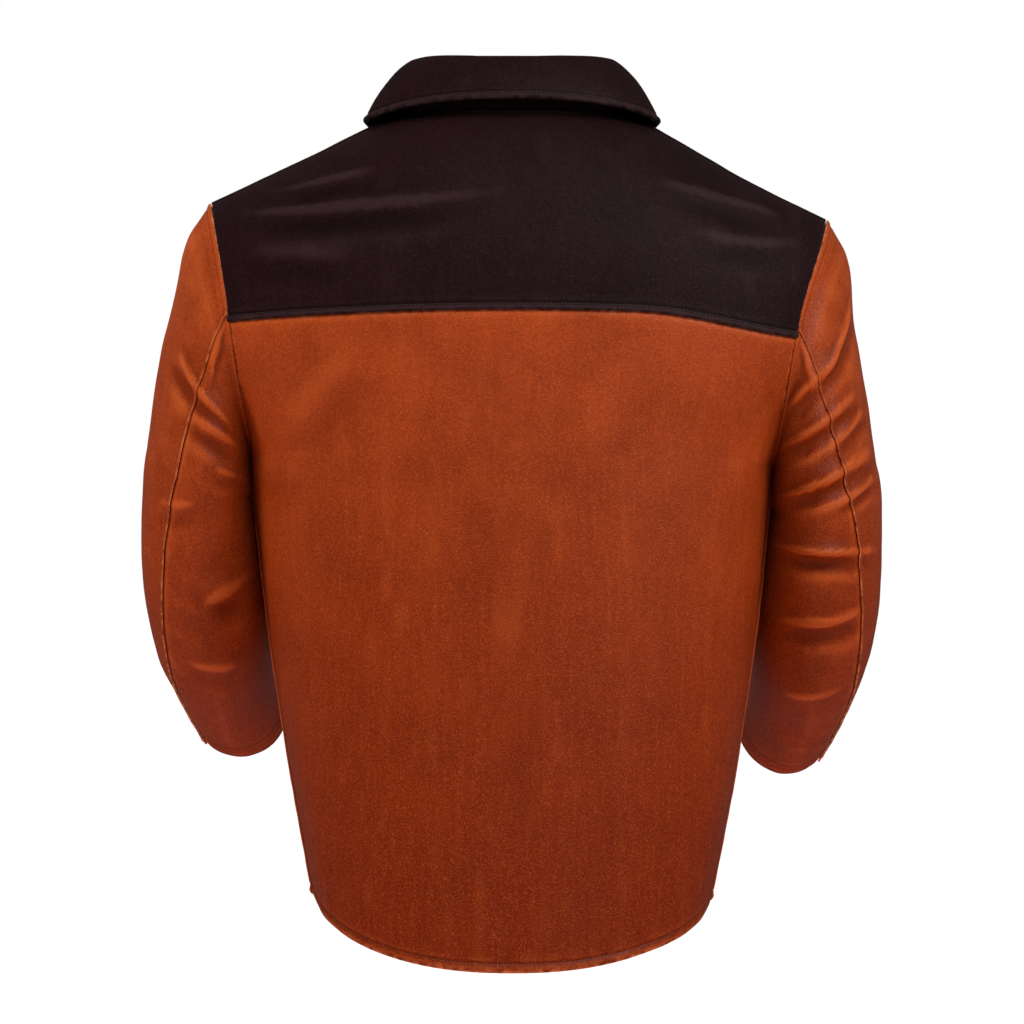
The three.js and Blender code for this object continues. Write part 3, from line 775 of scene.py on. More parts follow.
def run_length(here, axis):
    """distance along a grid's lines from their start"""
    steps = np.linalg.norm(np.diff(here, axis=axis), axis=-1)
    total = np.cumsum(steps, axis=axis)
    pad = np.zeros_like(np.take(total, [0], axis=axis))
    return np.concatenate([pad, total], axis=axis)


def gaps_to_edges(here):
    across, up = run_length(here, 0), run_length(here, 1)
    return {"start": across, "end": across[-1:] - across, "low": up, "high": up[:, -1:] - up}


def body_core(here, v):
    """each core gives a point on the inner side of every point of a surface"""
    below = np.minimum(here[..., 2] - 60 * mm, yoke_base - 60 * mm)
    return points(here[..., 0] * 0.6, 0, below)


def neck_core(here, v):
    return here * [0.3, 0.3, 1]


def leaf_core(here, v):
    return here * [0.5, 0.5, 1] - [0, 0, 60 * mm]


def sleeve_core(sign, start=0.0):
    def core(here, v):
        return sleeve_ring(lerp(start, 1, v))[0] * [sign, 1, 1]

    return core


def blurred(field, passes=6):
    for _ in range(passes):
        padded = np.pad(field, 1, mode="edge")
        field = (padded[:-2, 1:-1] + padded[2:, 1:-1] + padded[1:-1, :-2] + padded[1:-1, 2:] + 2 * field) / 6
    return field


def grid_faces(across, rows, wraps):
    """quads of the outer face, the inner face and the edges that join them"""
    outer = np.arange(across * rows).reshape(across, rows)
    inner = outer + across * rows
    if wraps:
        outer, inner = (np.vstack([grid, grid[:1]]) for grid in (outer, inner))

    def quads(a, b, c, d):
        return np.stack([a, b, c, d], axis=-1).reshape(-1, 4)

    face = quads(outer[:-1, :-1], outer[1:, :-1], outer[1:, 1:], outer[:-1, 1:])
    back = quads(inner[:-1, :-1], inner[:-1, 1:], inner[1:, 1:], inner[1:, :-1])
    rims = [
        quads(outer[:-1, 0], inner[:-1, 0], inner[1:, 0], outer[1:, 0]),
        quads(outer[:-1, -1], outer[1:, -1], inner[1:, -1], inner[:-1, -1]),
    ]
    if not wraps:
        rims.append(quads(outer[0, :-1], outer[0, 1:], inner[0, 1:], inner[0, :-1]))
        rims.append(quads(outer[-1, :-1], inner[-1, :-1], inner[-1, 1:], outer[-1, 1:]))
    return face, back, np.concatenate(rims)


def add_object(name, data):
    thing = bpy.data.objects.new(name, data)
    bpy.context.scene.collection.objects.link(thing)
    return thing


def make_mesh(name, vertices, faces, materials, face_materials=None, fields=None):
    mesh = bpy.data.meshes.new(name)
    corners = np.asarray(vertices).reshape(-1, 3).tolist()
    mesh.from_pydata(corners, [], [list(map(int, face)) for face in faces])
    for material in materials:
        mesh.materials.append(material)
    if face_materials is not None:
        mesh.polygons.foreach_set("material_index", np.asarray(face_materials, dtype=np.int32))
    mesh.polygons.foreach_set("use_smooth", np.ones(len(mesh.polygons), dtype=bool))
    for label, values in (fields or {}).items():
        layer = mesh.attributes.new(label, "FLOAT", "POINT")
        layer.data.foreach_set("value", np.asarray(values, dtype=np.float32).ravel())
    mesh.update()
    return add_object(name, mesh)


class Hide:
    """one leather piece: its object, and the grid of its outer face for stitching along its edges"""

    def __init__(self, piece, outer, normal, cut):
        self.piece = piece
        self.outer = outer
        self.normal = normal
        self.cut = cut
        self.gaps = gaps_to_edges(outer)
        self.threads = []


def cut_size(here):
    """width, length and area of the flat piece before it was folded and worn"""
    across, up = run_length(here, 0), run_length(here, 1)
    one = np.cross(here[1:, :-1] - here[:-1, :-1], here[:-1, 1:] - here[:-1, :-1])
    two = np.cross(here[1:, :-1] - here[1:, 1:], here[:-1, 1:] - here[1:, 1:])
    area = (np.linalg.norm(one, axis=-1).sum() + np.linalg.norm(two, axis=-1).sum()) / 2
    return float(across[-1].max()), float(up[:, -1].max()), float(area)


usual_wear_and_highlight_reach = 1.6 * mm  # how far in from an edge its dye is worn off and a painted highlight runs along it


def make_hide(
    name, surface, us, vs, leathers, relief,
    core=body_core, depth=0.0, thick=leather, wraps=False, wear_and_highlight_reach=usual_wear_and_highlight_reach,
):
    """a leather piece between two depths under a surface, with rolled edges

    The two leathers are those of its outer and its inner side.
    """
    v, here, normal = lay_out(surface, us, vs, core, wraps)
    cut = cut_size(here)
    settled = settle(here.copy())
    gaps = gaps_to_edges(settled)
    lift = relief(settled, normal, v, gaps)
    edge = np.minimum(gaps["low"], gaps["high"])
    if not wraps:
        edge = np.minimum(edge, np.minimum(gaps["start"], gaps["end"]))
    half = thick / 2
    bulge = np.sqrt(np.clip(1 - (1 - np.clip(edge / half, 0, 1)) ** 2, 0.04, 1))
    middle = lift - depth - half
    outer = settled + normal * (middle + half * bulge)[..., None]
    inner = settled + normal * (middle - half * bulge)[..., None]
    face, back, rim = grid_faces(*v.shape, wraps)
    kinds = np.repeat([0, 1, 0], [len(face), len(back), len(rim)])
    # the lift above its own blurred self marks fold crests and hollows, for a painted highlight on crests and
    # painted shade in hollows
    painted_fold_light = np.clip((lift - blurred(lift)) / (0.5 * mm), -1, 1)
    # near the edges: edge wear, and a painted highlight along the rolled edges
    edge_wear_and_highlight = np.exp(-edge / wear_and_highlight_reach)
    fields = {"painted_fold_light": np.stack([painted_fold_light, painted_fold_light]), "edge_wear_and_highlight": np.stack([edge_wear_and_highlight, edge_wear_and_highlight])}
    vertices = np.concatenate([outer.reshape(-1, 3), inner.reshape(-1, 3)])
    piece = make_mesh(name, vertices, np.concatenate([face, back, rim]), leathers, kinds, fields)
    face_outward(piece)
    return Hide(piece, outer, normal, cut)


def face_outward(piece):
    """turns every face of a closed piece outward"""
    mesh = piece.data
    corners = np.empty(len(mesh.vertices) * 3)
    mesh.vertices.foreach_get("co", corners)
    corners = corners.reshape(-1, 3)
    mesh.calc_loop_triangles()
    triangles = np.empty(len(mesh.loop_triangles) * 3, dtype=np.int32)
    mesh.loop_triangles.foreach_get("vertices", triangles)
    a, b, c = corners[triangles.reshape(-1, 3)].transpose(1, 0, 2)
    if np.einsum("ij,ij->i", a, np.cross(b, c)).sum() < 0:
        mesh.flip_normals()


# ---- stitching


def line_beside(hide, edge, distance, trim=(0.0, 1.0)):
    """points and normals on a hide's outer face, at a distance from one of its edges"""
    gap, outer, normal = hide.gaps[edge], hide.outer, hide.normal
    if edge in ("start", "end"):
        gap, outer, normal = gap.T, outer.transpose(1, 0, 2), normal.transpose(1, 0, 2)
    rows = range(int(trim[0] * (len(gap) - 1)), int(trim[1] * (len(gap) - 1)) + 1)
    found = []
    for row in rows:
        order = np.argsort(gap[row])
        values = [
            np.interp(distance, gap[row][order], source[row][order][:, axis])
            for source in (outer, normal)
            for axis in range(3)
        ]
        found.append(values)
    found = np.array(found)
    return found[:, :3], unit(found[:, 3:])


thread_shape = [(-0.5, 0.35), (-0.32, 1.0), (0.32, 1.0), (0.5, 0.35)]  # places along a stitch, and sizes
thread_sides = 6
thread_flatness = 0.8
thread_rise = 0.35  # how far a stitch stands out of the leather, in its own radius


def tube_faces(rings, sides):
    """quads along a tube of rings, and a cap at each end"""
    quads = []
    for ring in range(rings - 1):
        for side in range(sides):
            here, after = ring * sides + side, ring * sides + (side + 1) % sides
            quads.append([here, after, after + sides, here + sides])
    last = (rings - 1) * sides
    return quads + [list(range(sides))[::-1], list(range(last, last + sides))]


def stitch_mesh(line, normals):
    """vertices and faces of a row of stitches along a line"""
    reach = np.concatenate([[0], np.cumsum(np.linalg.norm(np.diff(line, axis=0), axis=1))])
    count = max(int(reach[-1] / stitch_pitch), 1)
    spots = (np.arange(count) + 0.5) * reach[-1] / count

    def followed(values, places):
        return np.stack([np.interp(places, reach, values[:, axis]) for axis in range(3)], axis=1)

    centre = followed(line, spots)
    up = unit(followed(normals, spots))
    along = unit(followed(line, spots + mm) - followed(line, spots - mm))
    beside = unit(np.cross(along, up))
    rings = []
    for place, size in thread_shape:
        for turn in np.arange(thread_sides) * 4 * quarter / thread_sides:
            sideways = np.cos(turn) * size
            outward = np.sin(turn) * size * thread_flatness + thread_rise * size
            offset = beside * sideways * thread_radius + up * outward * thread_radius
            rings.append(centre + along * place * stitch_length + offset)
    vertices = np.stack(rings, axis=1)
    pattern = tube_faces(len(thread_shape), thread_sides)
    faces = [[index + start * len(rings) for index in face] for start in range(count) for face in pattern]
    return vertices.reshape(-1, 3), faces


def stitch(name, rows, body, hide, material):
    """one piece of thread for all the stitch rows of a hide"""
    vertices, faces, total = [], [], 0
    for edge, distance, *trim in rows:
        line, normals = line_beside(hide, edge, distance, trim[0] if trim else (0.0, 1.0))
        some, quads = stitch_mesh(line, normals)
        faces += [[index + total for index in face] for face in quads]
        vertices.append(some)
        total += len(some)
    piece = make_mesh(name, np.concatenate(vertices), faces, [material])
    face_outward(piece)
    attach(piece, body)
    hide.threads.append(piece)


# ---- joints


def attach(piece, body):
    """rides on the root; a piece of any other body only gets its transform baked into its mesh"""
    if body == "root":
        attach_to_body(piece, "root")
    elif body.endswith("sleeve"):
        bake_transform(piece)
    else:
        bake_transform(piece)


def declare(hide, body, node):
    attach(hide.piece, body)
    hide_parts(node)
    width, length, area = hide.cut
    area = min(area, width * length)


# ---- materials


class Nodes:
    """the nodes of a material or a world, with short calls for adding and joining them"""

    def __init__(self, owner, place="Object"):
        self.owner = owner
        owner.use_nodes = True
        self.tree = owner.node_tree
        self.place = self.add("ShaderNodeTexCoord", {}, place)

    def feed(self, socket, value):
        """gives a socket a number, a colour or the output that drives it"""
        if isinstance(value, bpy.types.NodeSocket):
            self.tree.links.new(value, socket)
        elif socket.type == "RGBA":
            socket.default_value = (*value, 1)
        else:
            socket.default_value = value

    def feed_all(self, node, inputs):
        for socket, value in inputs.items():
            self.feed(node.inputs[socket], value)

    def add(self, kind, inputs, output, **settings):
        """adds a node and returns one of its outputs"""
        node = self.tree.nodes.new(kind)
        for label, value in settings.items():
            setattr(node, label, value)
        self.feed_all(node, inputs)
        return node.outputs[output]

    def surface(self, inputs):
        self.feed_all(self.tree.nodes["Principled BSDF"], inputs)
        return self.owner

    def noise(self, scale, detail=2.0, roughness=0.5, vector=None):
        inputs = {"Scale": scale, "Detail": detail, "Roughness": roughness, "Vector": vector or self.place}
        return self.add("ShaderNodeTexNoise", inputs, "Fac")

    def pebbles(self, scale):
        inputs = {"Scale": scale, "Smoothness": 0.4, "Vector": self.place}
        return self.add("ShaderNodeTexVoronoi", inputs, "Distance", feature="SMOOTH_F1")

    def ranged(self, source, low, high, new_low=0.0, new_high=1.0):
        inputs = {"Value": source, "From Min": low, "From Max": high, "To Min": new_low, "To Max": new_high}
        return self.add("ShaderNodeMapRange", inputs, "Result")

    def math(self, operation, first, second):
        return self.add("ShaderNodeMath", {0: first, 1: second}, "Value", operation=operation)

    def mix(self, share, first, second):
        return self.add("ShaderNodeMix", {0: share, 6: first, 7: second}, 2, data_type="RGBA")

    def tint(self, colour, layers):
        """lays tints over a colour: each has a pattern, the pattern's range, its strength and its colour"""
        for pattern, low, high, strength, over in layers:
            colour = self.mix(self.ranged(pattern, low, high, 0.0, strength), colour, over)
        return colour

    def bump(self, height, strength, distance, **before):
        inputs = {"Height": height, "Strength": strength, "Distance": distance, **before}
        return self.add("ShaderNodeBump", inputs, "Normal")

    def height(self):
        return self.add("ShaderNodeSeparateXYZ", {0: self.place}, "Z")


def dyed(name):
    return Nodes(bpy.data.materials.new(name))


def grain(nodes):
    """pebbled leather grain with fine pores and soft creases"""
    creases = nodes.bump(nodes.noise(95, 3, 0.6), 0.4, 1.2 * mm)
    pebble = nodes.bump(nodes.pebbles(700), 0.8, 0.45 * mm, Normal=creases)
    return nodes.bump(nodes.noise(1900, 2, 0.6), 0.3, 0.2 * mm, Normal=pebble)


def outer_leather(name, top, low, crest, mottle_and_crease_shade, edge, rough, specular):
    """finished side of a hide: mottled dye, streaks down the skin, painted highlights on crests and painted
    shade in troughs
    """
    nodes = dyed(name)
    # painted light and shade from above: lighter towards the yoke and darker towards the hem
    rise = nodes.math("POWER", nodes.ranged(nodes.height(), hem_bottom, yoke_base + 60 * mm), 1.4)
    upright = nodes.add("ShaderNodeMapping", {"Vector": nodes.place, "Scale": (230, 230, 22)}, "Vector")
    mottle = nodes.noise(420, 4, 0.65)
    painted_fold_light, edge_wear_and_highlight = (
        nodes.add("ShaderNodeAttribute", {}, "Fac", attribute_name=field) for field in ("painted_fold_light", "edge_wear_and_highlight")
    )
    layers = [
        (nodes.noise(16, 4, 0.55), 0.4, 0.72, 0.42, mottle_and_crease_shade),
        (nodes.noise(1, 3, 0.5, upright), 0.45, 0.75, 0.07, crest),
        (mottle, 0.4, 0.7, 0.45, mottle_and_crease_shade),
        (nodes.noise(760, 3, 0.7), 0.5, 0.72, 0.45, crest),
        # painted highlight on fold crests and painted shade in fold hollows
        (painted_fold_light, 0.05, 0.9, 0.42, crest),
        (painted_fold_light, -0.05, -0.9, 0.55, mottle_and_crease_shade),
        # edge wear, with a painted highlight along the rolled edges
        (nodes.math("MULTIPLY", edge_wear_and_highlight, nodes.ranged(nodes.noise(140, 3), 0.3, 0.65)), 0.1, 0.8, 0.75, edge),
    ]
    return nodes.surface({
        "Base Color": nodes.tint(nodes.mix(rise, low, top), layers),
        "Roughness": nodes.ranged(mottle, 0.3, 0.7, rough - 0.06, rough + 0.1),
        "Specular IOR Level": specular,
        "Normal": grain(nodes),
    })


def suede(name, light, dark):
    """flesh side of a hide"""
    nodes = dyed(name)
    nap = nodes.noise(1400, 3, 0.7)
    dye = nodes.mix(nodes.noise(60, 5, 0.6), dark, light)
    return nodes.surface({
        "Base Color": nodes.tint(dye, [(nap, 0.35, 0.7, 0.5, dark)]),
        "Roughness": nodes.ranged(nap, 0.3, 0.7, 0.85, 0.98),
        "Specular IOR Level": 0.2,
        "Sheen Weight": 0.25,
        "Normal": nodes.bump(nap, 0.5, 0.3 * mm),
    })


def thread(name, light, dark):
    """twisted thread"""
    nodes = dyed(name)
    strands = nodes.noise(2600, 2)
    return nodes.surface({
        "Base Color": nodes.mix(strands, dark, light),
        "Roughness": nodes.ranged(strands, 0.3, 0.7, 0.5, 0.75),
        "Normal": nodes.bump(strands, 0.4, 0.2 * mm),
    })


def brass(name, light, dark):
    """antique brass with a patchy patina"""
    nodes = dyed(name)
    patina = nodes.noise(260, 4, 0.6)
    return nodes.surface({
        "Base Color": nodes.mix(nodes.ranged(patina, 0.35, 0.65), dark, light),
        "Roughness": nodes.ranged(patina, 0.3, 0.7, 0.48, 0.28),
        "Metallic": 0.95,
        "Normal": nodes.bump(nodes.noise(1500, 2), 0.15, 0.1 * mm),
    })


russet = outer_leather(
    "russet_leather",
    # top and low: painted light from above, lighter under the yoke and darker at the hem
    top=(0.245, 0.037, 0.0065),
    low=(0.112, 0.0085, 0.0001),
    # the two colours below: lighter flecks and streaks with a painted highlight on fold crests, then darker
    # mottle with painted shade in fold hollows
    crest=(0.43, 0.086, 0.018),
    mottle_and_crease_shade=(0.078, 0.0065, 0.0003),
    # worn edges, and a painted highlight along the rolled edges
    edge=(0.58, 0.17, 0.07),
    rough=0.42,
    specular=0.085,
)
dark = outer_leather(
    "dark_leather",
    top=(0.0095, 0.0026, 0.0029),
    low=(0.0095, 0.0026, 0.0029),
    # the two colours below: lighter flecks and streaks with a painted highlight on fold crests, then darker
    # mottle with painted shade in fold hollows
    crest=(0.032, 0.017, 0.020),
    mottle_and_crease_shade=(0.003, 0.0008, 0.0010),
    # worn edges, and a painted highlight along the rolled edges
    edge=(0.034, 0.019, 0.022),
    rough=0.56,
    specular=0.045,
)
flesh = suede("inner_leather", light=(0.27, 0.125, 0.062), dark=(0.15, 0.062, 0.03))
russet_thread = thread("russet_thread", light=(0.16, 0.04, 0.014), dark=(0.07, 0.016, 0.006))
dark_thread = thread("dark_thread", light=(0.028, 0.014, 0.014), dark=(0.008, 0.004, 0.004))
snap_brass = brass("snap_brass", light=(0.42, 0.28, 0.13), dark=(0.12, 0.075, 0.035))

# the leathers of an outer and an inner side
russet_hide = [russet, flesh]
dark_hide = [dark, flesh]
dark_double = [dark, dark]
bare_suede = [flesh, flesh]


# ---- pieces


def raised(gap, height, reach=12 * mm):
    """a lapped edge lies on the hide below it and comes down to the surface over a short reach"""
    return height * (1 - smooth(gap, 0, reach))


def stitch_groove(gap, distance, depth=0.7 * mm, puff=0.7 * mm):
    """the row of stitches pulls a groove into the hide and leaves a puffed roll beside the edge"""
    return puff * bump_at(gap, distance * 0.45, 2.4 * mm) - depth * bump_at(gap, distance, 1.5 * mm)


def puckers(place, gap, seed):
    """small gathers that run away from a stitched seam"""
    height, size = 0.35 * mm, 11 * mm
    return height * soft_noise(place, (size, size, size), seed) * bump_at(gap, 5 * mm, 6 * mm)


def tucked(gap):
    """an edge that goes under its lapped neighbour"""
    sunk, reach = 1.3 * mm, 4 * mm
    return -sunk * (1 - smooth(gap, 0, reach))


def lapped_low(gaps):
    """a yoke's lower edge lies on the panel below it and is stitched down deep"""
    return raised(gaps["low"], 2.0 * mm, 16 * mm) + stitch_groove(gaps["low"], topstitch, 1.0 * mm, 0.9 * mm)


def hem_groove(gaps):
    return stitch_groove(gaps["low"], hem_stitch, puff=1.0 * mm)


def closing_inset(place, sign):
    """how far the right front sinks at the closing, so that the left one lies over it"""
    return inset_depth * smooth(place[..., 0], -inset_start, -overlap - 2 * mm) if sign < 0 else 0


def back_panel_relief(place, normal, v, gaps):
    total = body_relief(place, normal, np.minimum(gaps["start"], gaps["end"]))
    total += hem_groove(gaps) + puckers(place, gaps["low"], 31)
    below_underarm = 1 - smooth(place[..., 2], underarm - 50 * mm, underarm + 10 * mm)
    for edge in ("start", "end"):
        gap = gaps[edge]
        seam = raised(gap, 1.9 * mm) + stitch_groove(gap, topstitch) + puckers(place, gap, 37)
        total += seam * below_underarm
    return total + tucked(gaps["high"])


def back_yoke_relief(place, normal, v, gaps):
    total = body_relief(place, normal, np.minimum(gaps["start"], gaps["end"]))
    total += lapped_low(gaps)
    total += puckers(place, gaps["low"], 41)
    return total + stitch_groove(gaps["high"], topstitch) + raised(gaps["high"], 1.2 * mm)


def side_front_relief(place, normal, v, gaps):
    total = body_relief(place, normal, gaps["start"])
    total += hem_groove(gaps) + puckers(place, gaps["low"], 31)
    return total + tucked(gaps["high"]) + tucked(gaps["start"])


def front_edge_relief(sign):
    def relief(place, normal, v, gaps):
        total = body_relief(place, normal, gaps["end"] + 1)
        total += hem_groove(gaps)
        total += stitch_groove(gaps["start"], topstitch)
        return total + tucked(gaps["high"]) - closing_inset(place, sign)

    return relief


def front_yoke_relief(sign):
    def relief(place, normal, v, gaps):
        total = body_relief(place, normal, gaps["end"])
        total += lapped_low(gaps)
        total += stitch_groove(gaps["start"], topstitch)
        return total - closing_inset(place, sign)

    return relief


def follow_body(sign=1):
    """folds of an inner layer, the same as those of the hide over it"""

    def relief(place, normal, v, gaps):
        return body_relief(place, normal, gaps["end"] + 1) - closing_inset(place, sign)

    return relief


sides = (("left", 1), ("right", -1))
yoke_cell = 3.6 * mm
small_cell = 3 * mm
front_wear_and_highlight_reach = 0.8 * mm

# grid lines of the larger hides, laid out for their rough lengths in metres
body_up = spaced(0.57, start=stitched)
panel_across = spaced(0.62, start=stitched, end=stitched)
yoke_up = spaced(0.2, start=stitched, end=stitched)
yoke_across = spaced(0.66, spacing=yoke_cell)


def add_back():
    panel = make_hide(
        "back_panel_hide", back_surface, panel_across, body_up, russet_hide, back_panel_relief, wear_and_highlight_reach=2.4 * mm
    )
    below_underarm = (0, 0.66)
    rows = [("low", hem_stitch), ("start", topstitch, below_underarm), ("end", topstitch, below_underarm)]
    stitch("back_panel_thread", rows, "root", panel, russet_thread)
    yoke = make_hide("back_yoke_hide", back_yoke_surface, yoke_across, yoke_up, dark_hide, back_yoke_relief)
    stitch("back_yoke_thread", [("low", topstitch)], "root", yoke, dark_thread)
    declare(yoke, "root", "back_yoke")
    declare(panel, "root", "back_panel")


def add_front(side, sign):
    moving = f"{side}_front"
    panel = make_hide(
        f"{moving}_panel_hide", side_front_surface(sign), spaced(0.2, start=stitched), body_up,
        russet_hide, side_front_relief, wear_and_highlight_reach=front_wear_and_highlight_reach,
    )
    stitch(f"{moving}_panel_thread", [("low", hem_stitch)], "root", panel, russet_thread)
    edge = make_hide(
        f"{moving}_edge_hide", front_surface(sign), spaced(0.13, start=stitched), body_up,
        russet_hide, front_edge_relief(sign), wear_and_highlight_reach=front_wear_and_highlight_reach,
    )
    stitch(f"{moving}_edge_thread", [("low", hem_stitch), ("start", topstitch)], moving, edge, russet_thread)
    yoke = make_hide(
        f"{moving}_yoke_hide", front_yoke_surface(sign), spaced(0.33, start=stitched, spacing=yoke_cell),
        yoke_up, dark_hide, front_yoke_relief(sign),
    )
    stitch(f"{moving}_yoke_thread", [("low", topstitch), ("start", topstitch)], "root", yoke, dark_thread)
    declare(yoke, "root", f"{moving}_yoke")
    declare(panel, "root", f"{moving}_panel")
    declare(edge, moving, f"{moving}_edge")


def add_inner(
    piece, node, surface, us, vs, relief,
    body="root", held="hung", rows=(), depth=facing_depth, **shape,
):
    """an inner layer of bare suede"""
    layer = make_hide(piece, surface, us, vs, bare_suede, relief, depth=depth, thick=facing, **shape)
    if rows:
        stitch(f"{node}_thread", rows, body, layer, dark_thread)
    declare(layer, body, node)


def add_facings(side, sign):
    strips = [
        (f"{side}_front_facing", front_surface(sign, facing_width), spaced(0.5), f"{side}_front"),
        (f"{side}_yoke_facing", front_yoke_surface(sign, facing_width), spaced(0.2), "root"),
    ]
    for node, surface, up, body in strips:
        rows = [("end", 4 * mm)]
        add_inner(f"{node}_strip", node, surface, spaced(0.07), up, follow_body(sign), body, rows=rows)


def band(surface):
    """the lowest stretch of a wall, a little shorter than the wall at each end"""
    share = hem_depth / (-yoke_depth - side_hem)
    return lambda u, v: surface(lerp(0.01, 0.99, u), lerp(0.004, share, v))


def add_hems():
    bands = [
        ("back_hem", back_surface, 0.5),
        ("left_front_hem", side_front_surface(1), 0.2),
        ("right_front_hem", side_front_surface(-1), 0.2),
    ]
    up = spaced(hem_depth, spacing=small_cell)
    for node, surface, width in bands:
        add_inner(
            f"{node}_band", node, band(surface), spaced(width), up, follow_body(),
            held="folded", depth=facing_depth + hem_ease,
        )


def add_pocket():
    up = spaced(pocket_height)
    add_inner("inside_pocket_patch", "inside_pocket", pocket_surface, spaced(0.13), up, follow_body())


def add_neck():
    add_inner(
        "neck_facing_strip", "neck_facing", neck_layer(neck_half_width * 0.96, 5 / 8, 0.97),
        spaced(0.2), spaced(0.05, spacing=small_cell), follow_body(), depth=facing_depth + neck_ease,
    )
    loop_surface = neck_layer(neck_half_width * math.sin(15 * degree), 0.83, 0.93)
    loop_lines = [spaced(length, spacing=2 * mm) for length in (0.05, 0.012)]
    loop_depth = facing_depth + facing + neck_ease + 2 * layer_gap
    loop = make_hide(
        "hanger_loop_strap", loop_surface, *loop_lines, dark_double, follow_body(),
        depth=loop_depth, thick=facing,
    )
    declare(loop, "root", "hanger_loop")


def leaf_relief(place, normal, v, gaps):
    total = waves(place, [(0.9 * mm, (0.05, 0.05, 0.03), 51)]) * smooth(gaps["low"], 0, 20 * mm)
    total += waves(place, [(0.3 * mm, (0.02, 0.02, 0.012), 53)])
    return total + stitch_groove(gaps["low"], topstitch, 0.8 * mm, 1.1 * mm)


def stand_relief(place, normal, v, gaps):
    total = waves(place, [(0.3 * mm, (0.02, 0.02, 0.012), 57)])
    return total + stitch_groove(gaps["low"], 4 * mm, 0.6 * mm, 1.0 * mm)


def add_collar():
    stand_lines = [spaced(0.5, spacing=3.4 * mm), spaced(0.045, start=stitched, spacing=small_cell)]
    leaf_lines = [spaced(0.75), spaced(0.06, start=stitched, spacing=small_cell)]
    stand = make_hide("collar_stand_hide", stand_surface, *stand_lines, dark_double, stand_relief, neck_core)
    leaf = make_hide("collar_leaf_hide", leaf_surface, *leaf_lines, dark_double, leaf_relief, leaf_core)
    under = make_hide(
        "under_collar_hide", leaf_surface, *leaf_lines, dark_double, leaf_relief, leaf_core,
        depth=leather + layer_gap, thick=facing,
    )
    stitch("collar_leaf_thread", [("low", topstitch)], "root", leaf, dark_thread)
    declare(stand, "root", "collar_stand")
    for hide, node in ((leaf, "collar_leaf"), (under, "under_collar")):
        declare(hide, "root", node)


cuff_stitch = cuff_hem * 0.85
arm_stitch = 3.6 * mm


def sleeve_part_relief(sign, part):
    folds = sleeve_relief(sign)

    def relief(place, normal, v, gaps):
        total = folds(place, normal, v, gaps)
        total += stitch_groove(gaps["high"], cuff_stitch, 0.6 * mm, 0.5 * mm)
        total += raised(gaps["low"], 2.1 * mm) + stitch_groove(gaps["low"], topstitch, 0.4 * mm, 0.5 * mm)
        if part == "top":
            seam, other = gaps["end"], gaps["start"]
            total += raised(seam, 1.5 * mm, 9 * mm) + stitch_groove(seam, arm_stitch, 0.5 * mm, 0.5 * mm)
        else:
            seam, other = gaps["start"], gaps["end"]
            total += tucked(seam)
        return total + tucked(other) * 0.5

    return relief


def cuff_relief(sign):
    folds = sleeve_relief(sign)
    return lambda place, normal, v, gaps: folds(place, normal, lerp(hem_start, 1, v), None)


def add_sleeve(side, sign):
    body = f"{side}_sleeve"
    sleeve_cell = 2.8 * mm
    down = spaced(0.5, start=stitched, end=stitched, spacing=sleeve_cell)
    parts = [
        ("top", spaced(0.2, end=stitched, spacing=sleeve_cell), [("high", cuff_stitch), ("end", arm_stitch)]),
        ("under", spaced(0.26, spacing=sleeve_cell), [("high", cuff_stitch)]),
    ]
    for part, across, rows in parts:
        name = f"{side}_{part}_sleeve"
        hide = make_hide(
            f"{name}_hide", sleeve_surface(sign, part), across, down, russet_hide,
            sleeve_part_relief(sign, part), sleeve_core(sign), wear_and_highlight_reach=0.6 * mm,
        )
        stitch(f"{name}_thread", rows, body, hide, russet_thread)
        declare(hide, body, name)
    around = np.linspace(0, 1, 110)[:-1]
    add_inner(
        f"{side}_cuff_band", f"{side}_cuff_hem", cuff_surface(sign), around,
        spaced(cuff_hem, spacing=small_cell), cuff_relief(sign), body,
        held="folded", core=sleeve_core(sign, hem_start), wraps=True,
    )


# ---- snaps

snap_sides = 40


def turned(name, profile, seat, outward):
    """a turned metal piece whose profile gives radius and height along the outward direction"""
    across = unit(np.cross(outward, [1, 0, 0.01]))
    third = np.cross(outward, across)
    turns = np.arange(snap_sides) * 4 * quarter / snap_sides
    rings = [
        seat + outward * height + (across * np.cos(turn) + third * np.sin(turn)) * max(radius, 0.05 * mm)
        for radius, height in profile
        for turn in turns
    ]
    piece = make_mesh(name, np.array(rings), tube_faces(len(profile), snap_sides), [snap_brass])
    face_outward(piece)
    return piece


def scaled(radius, height, shares):
    """a profile from shares of a radius and a height"""
    return [(radius * across, height * up) for across, up in shares]


dome = [(0.7 * math.cos(turn), lerp(0.5, 1, math.sin(turn))) for turn in np.linspace(0, quarter, 7)]
cap_rim = [(0, 0), (0.96, 0), (1, 0.12), (1, 0.3), (0.95, 0.42), (0.86, 0.46), (0.8, 0.4), (0.74, 0.46)]
socket_shares = [(0, 0), (0.92, 0), (1, 0.2), (1, 0.7), (0.9, 0.95), (0.7, 1), (0.55, 0.8), (0, 0.8)]
stud_foot = [(0, 0), (1, 0), (1, 0.35), (0.94, 0.5), (0.55, 0.52)]
stud_head = [(0.46, 0.7), (0.48, 0.92), (0.3, 1), (0, 1)]
post_shares = [(0, 0.25), (0.5, 0.25), (0.6, 0), (0.92, 0), (1, 0.25), (1, 0.75), (0.92, 1), (0, 1)]


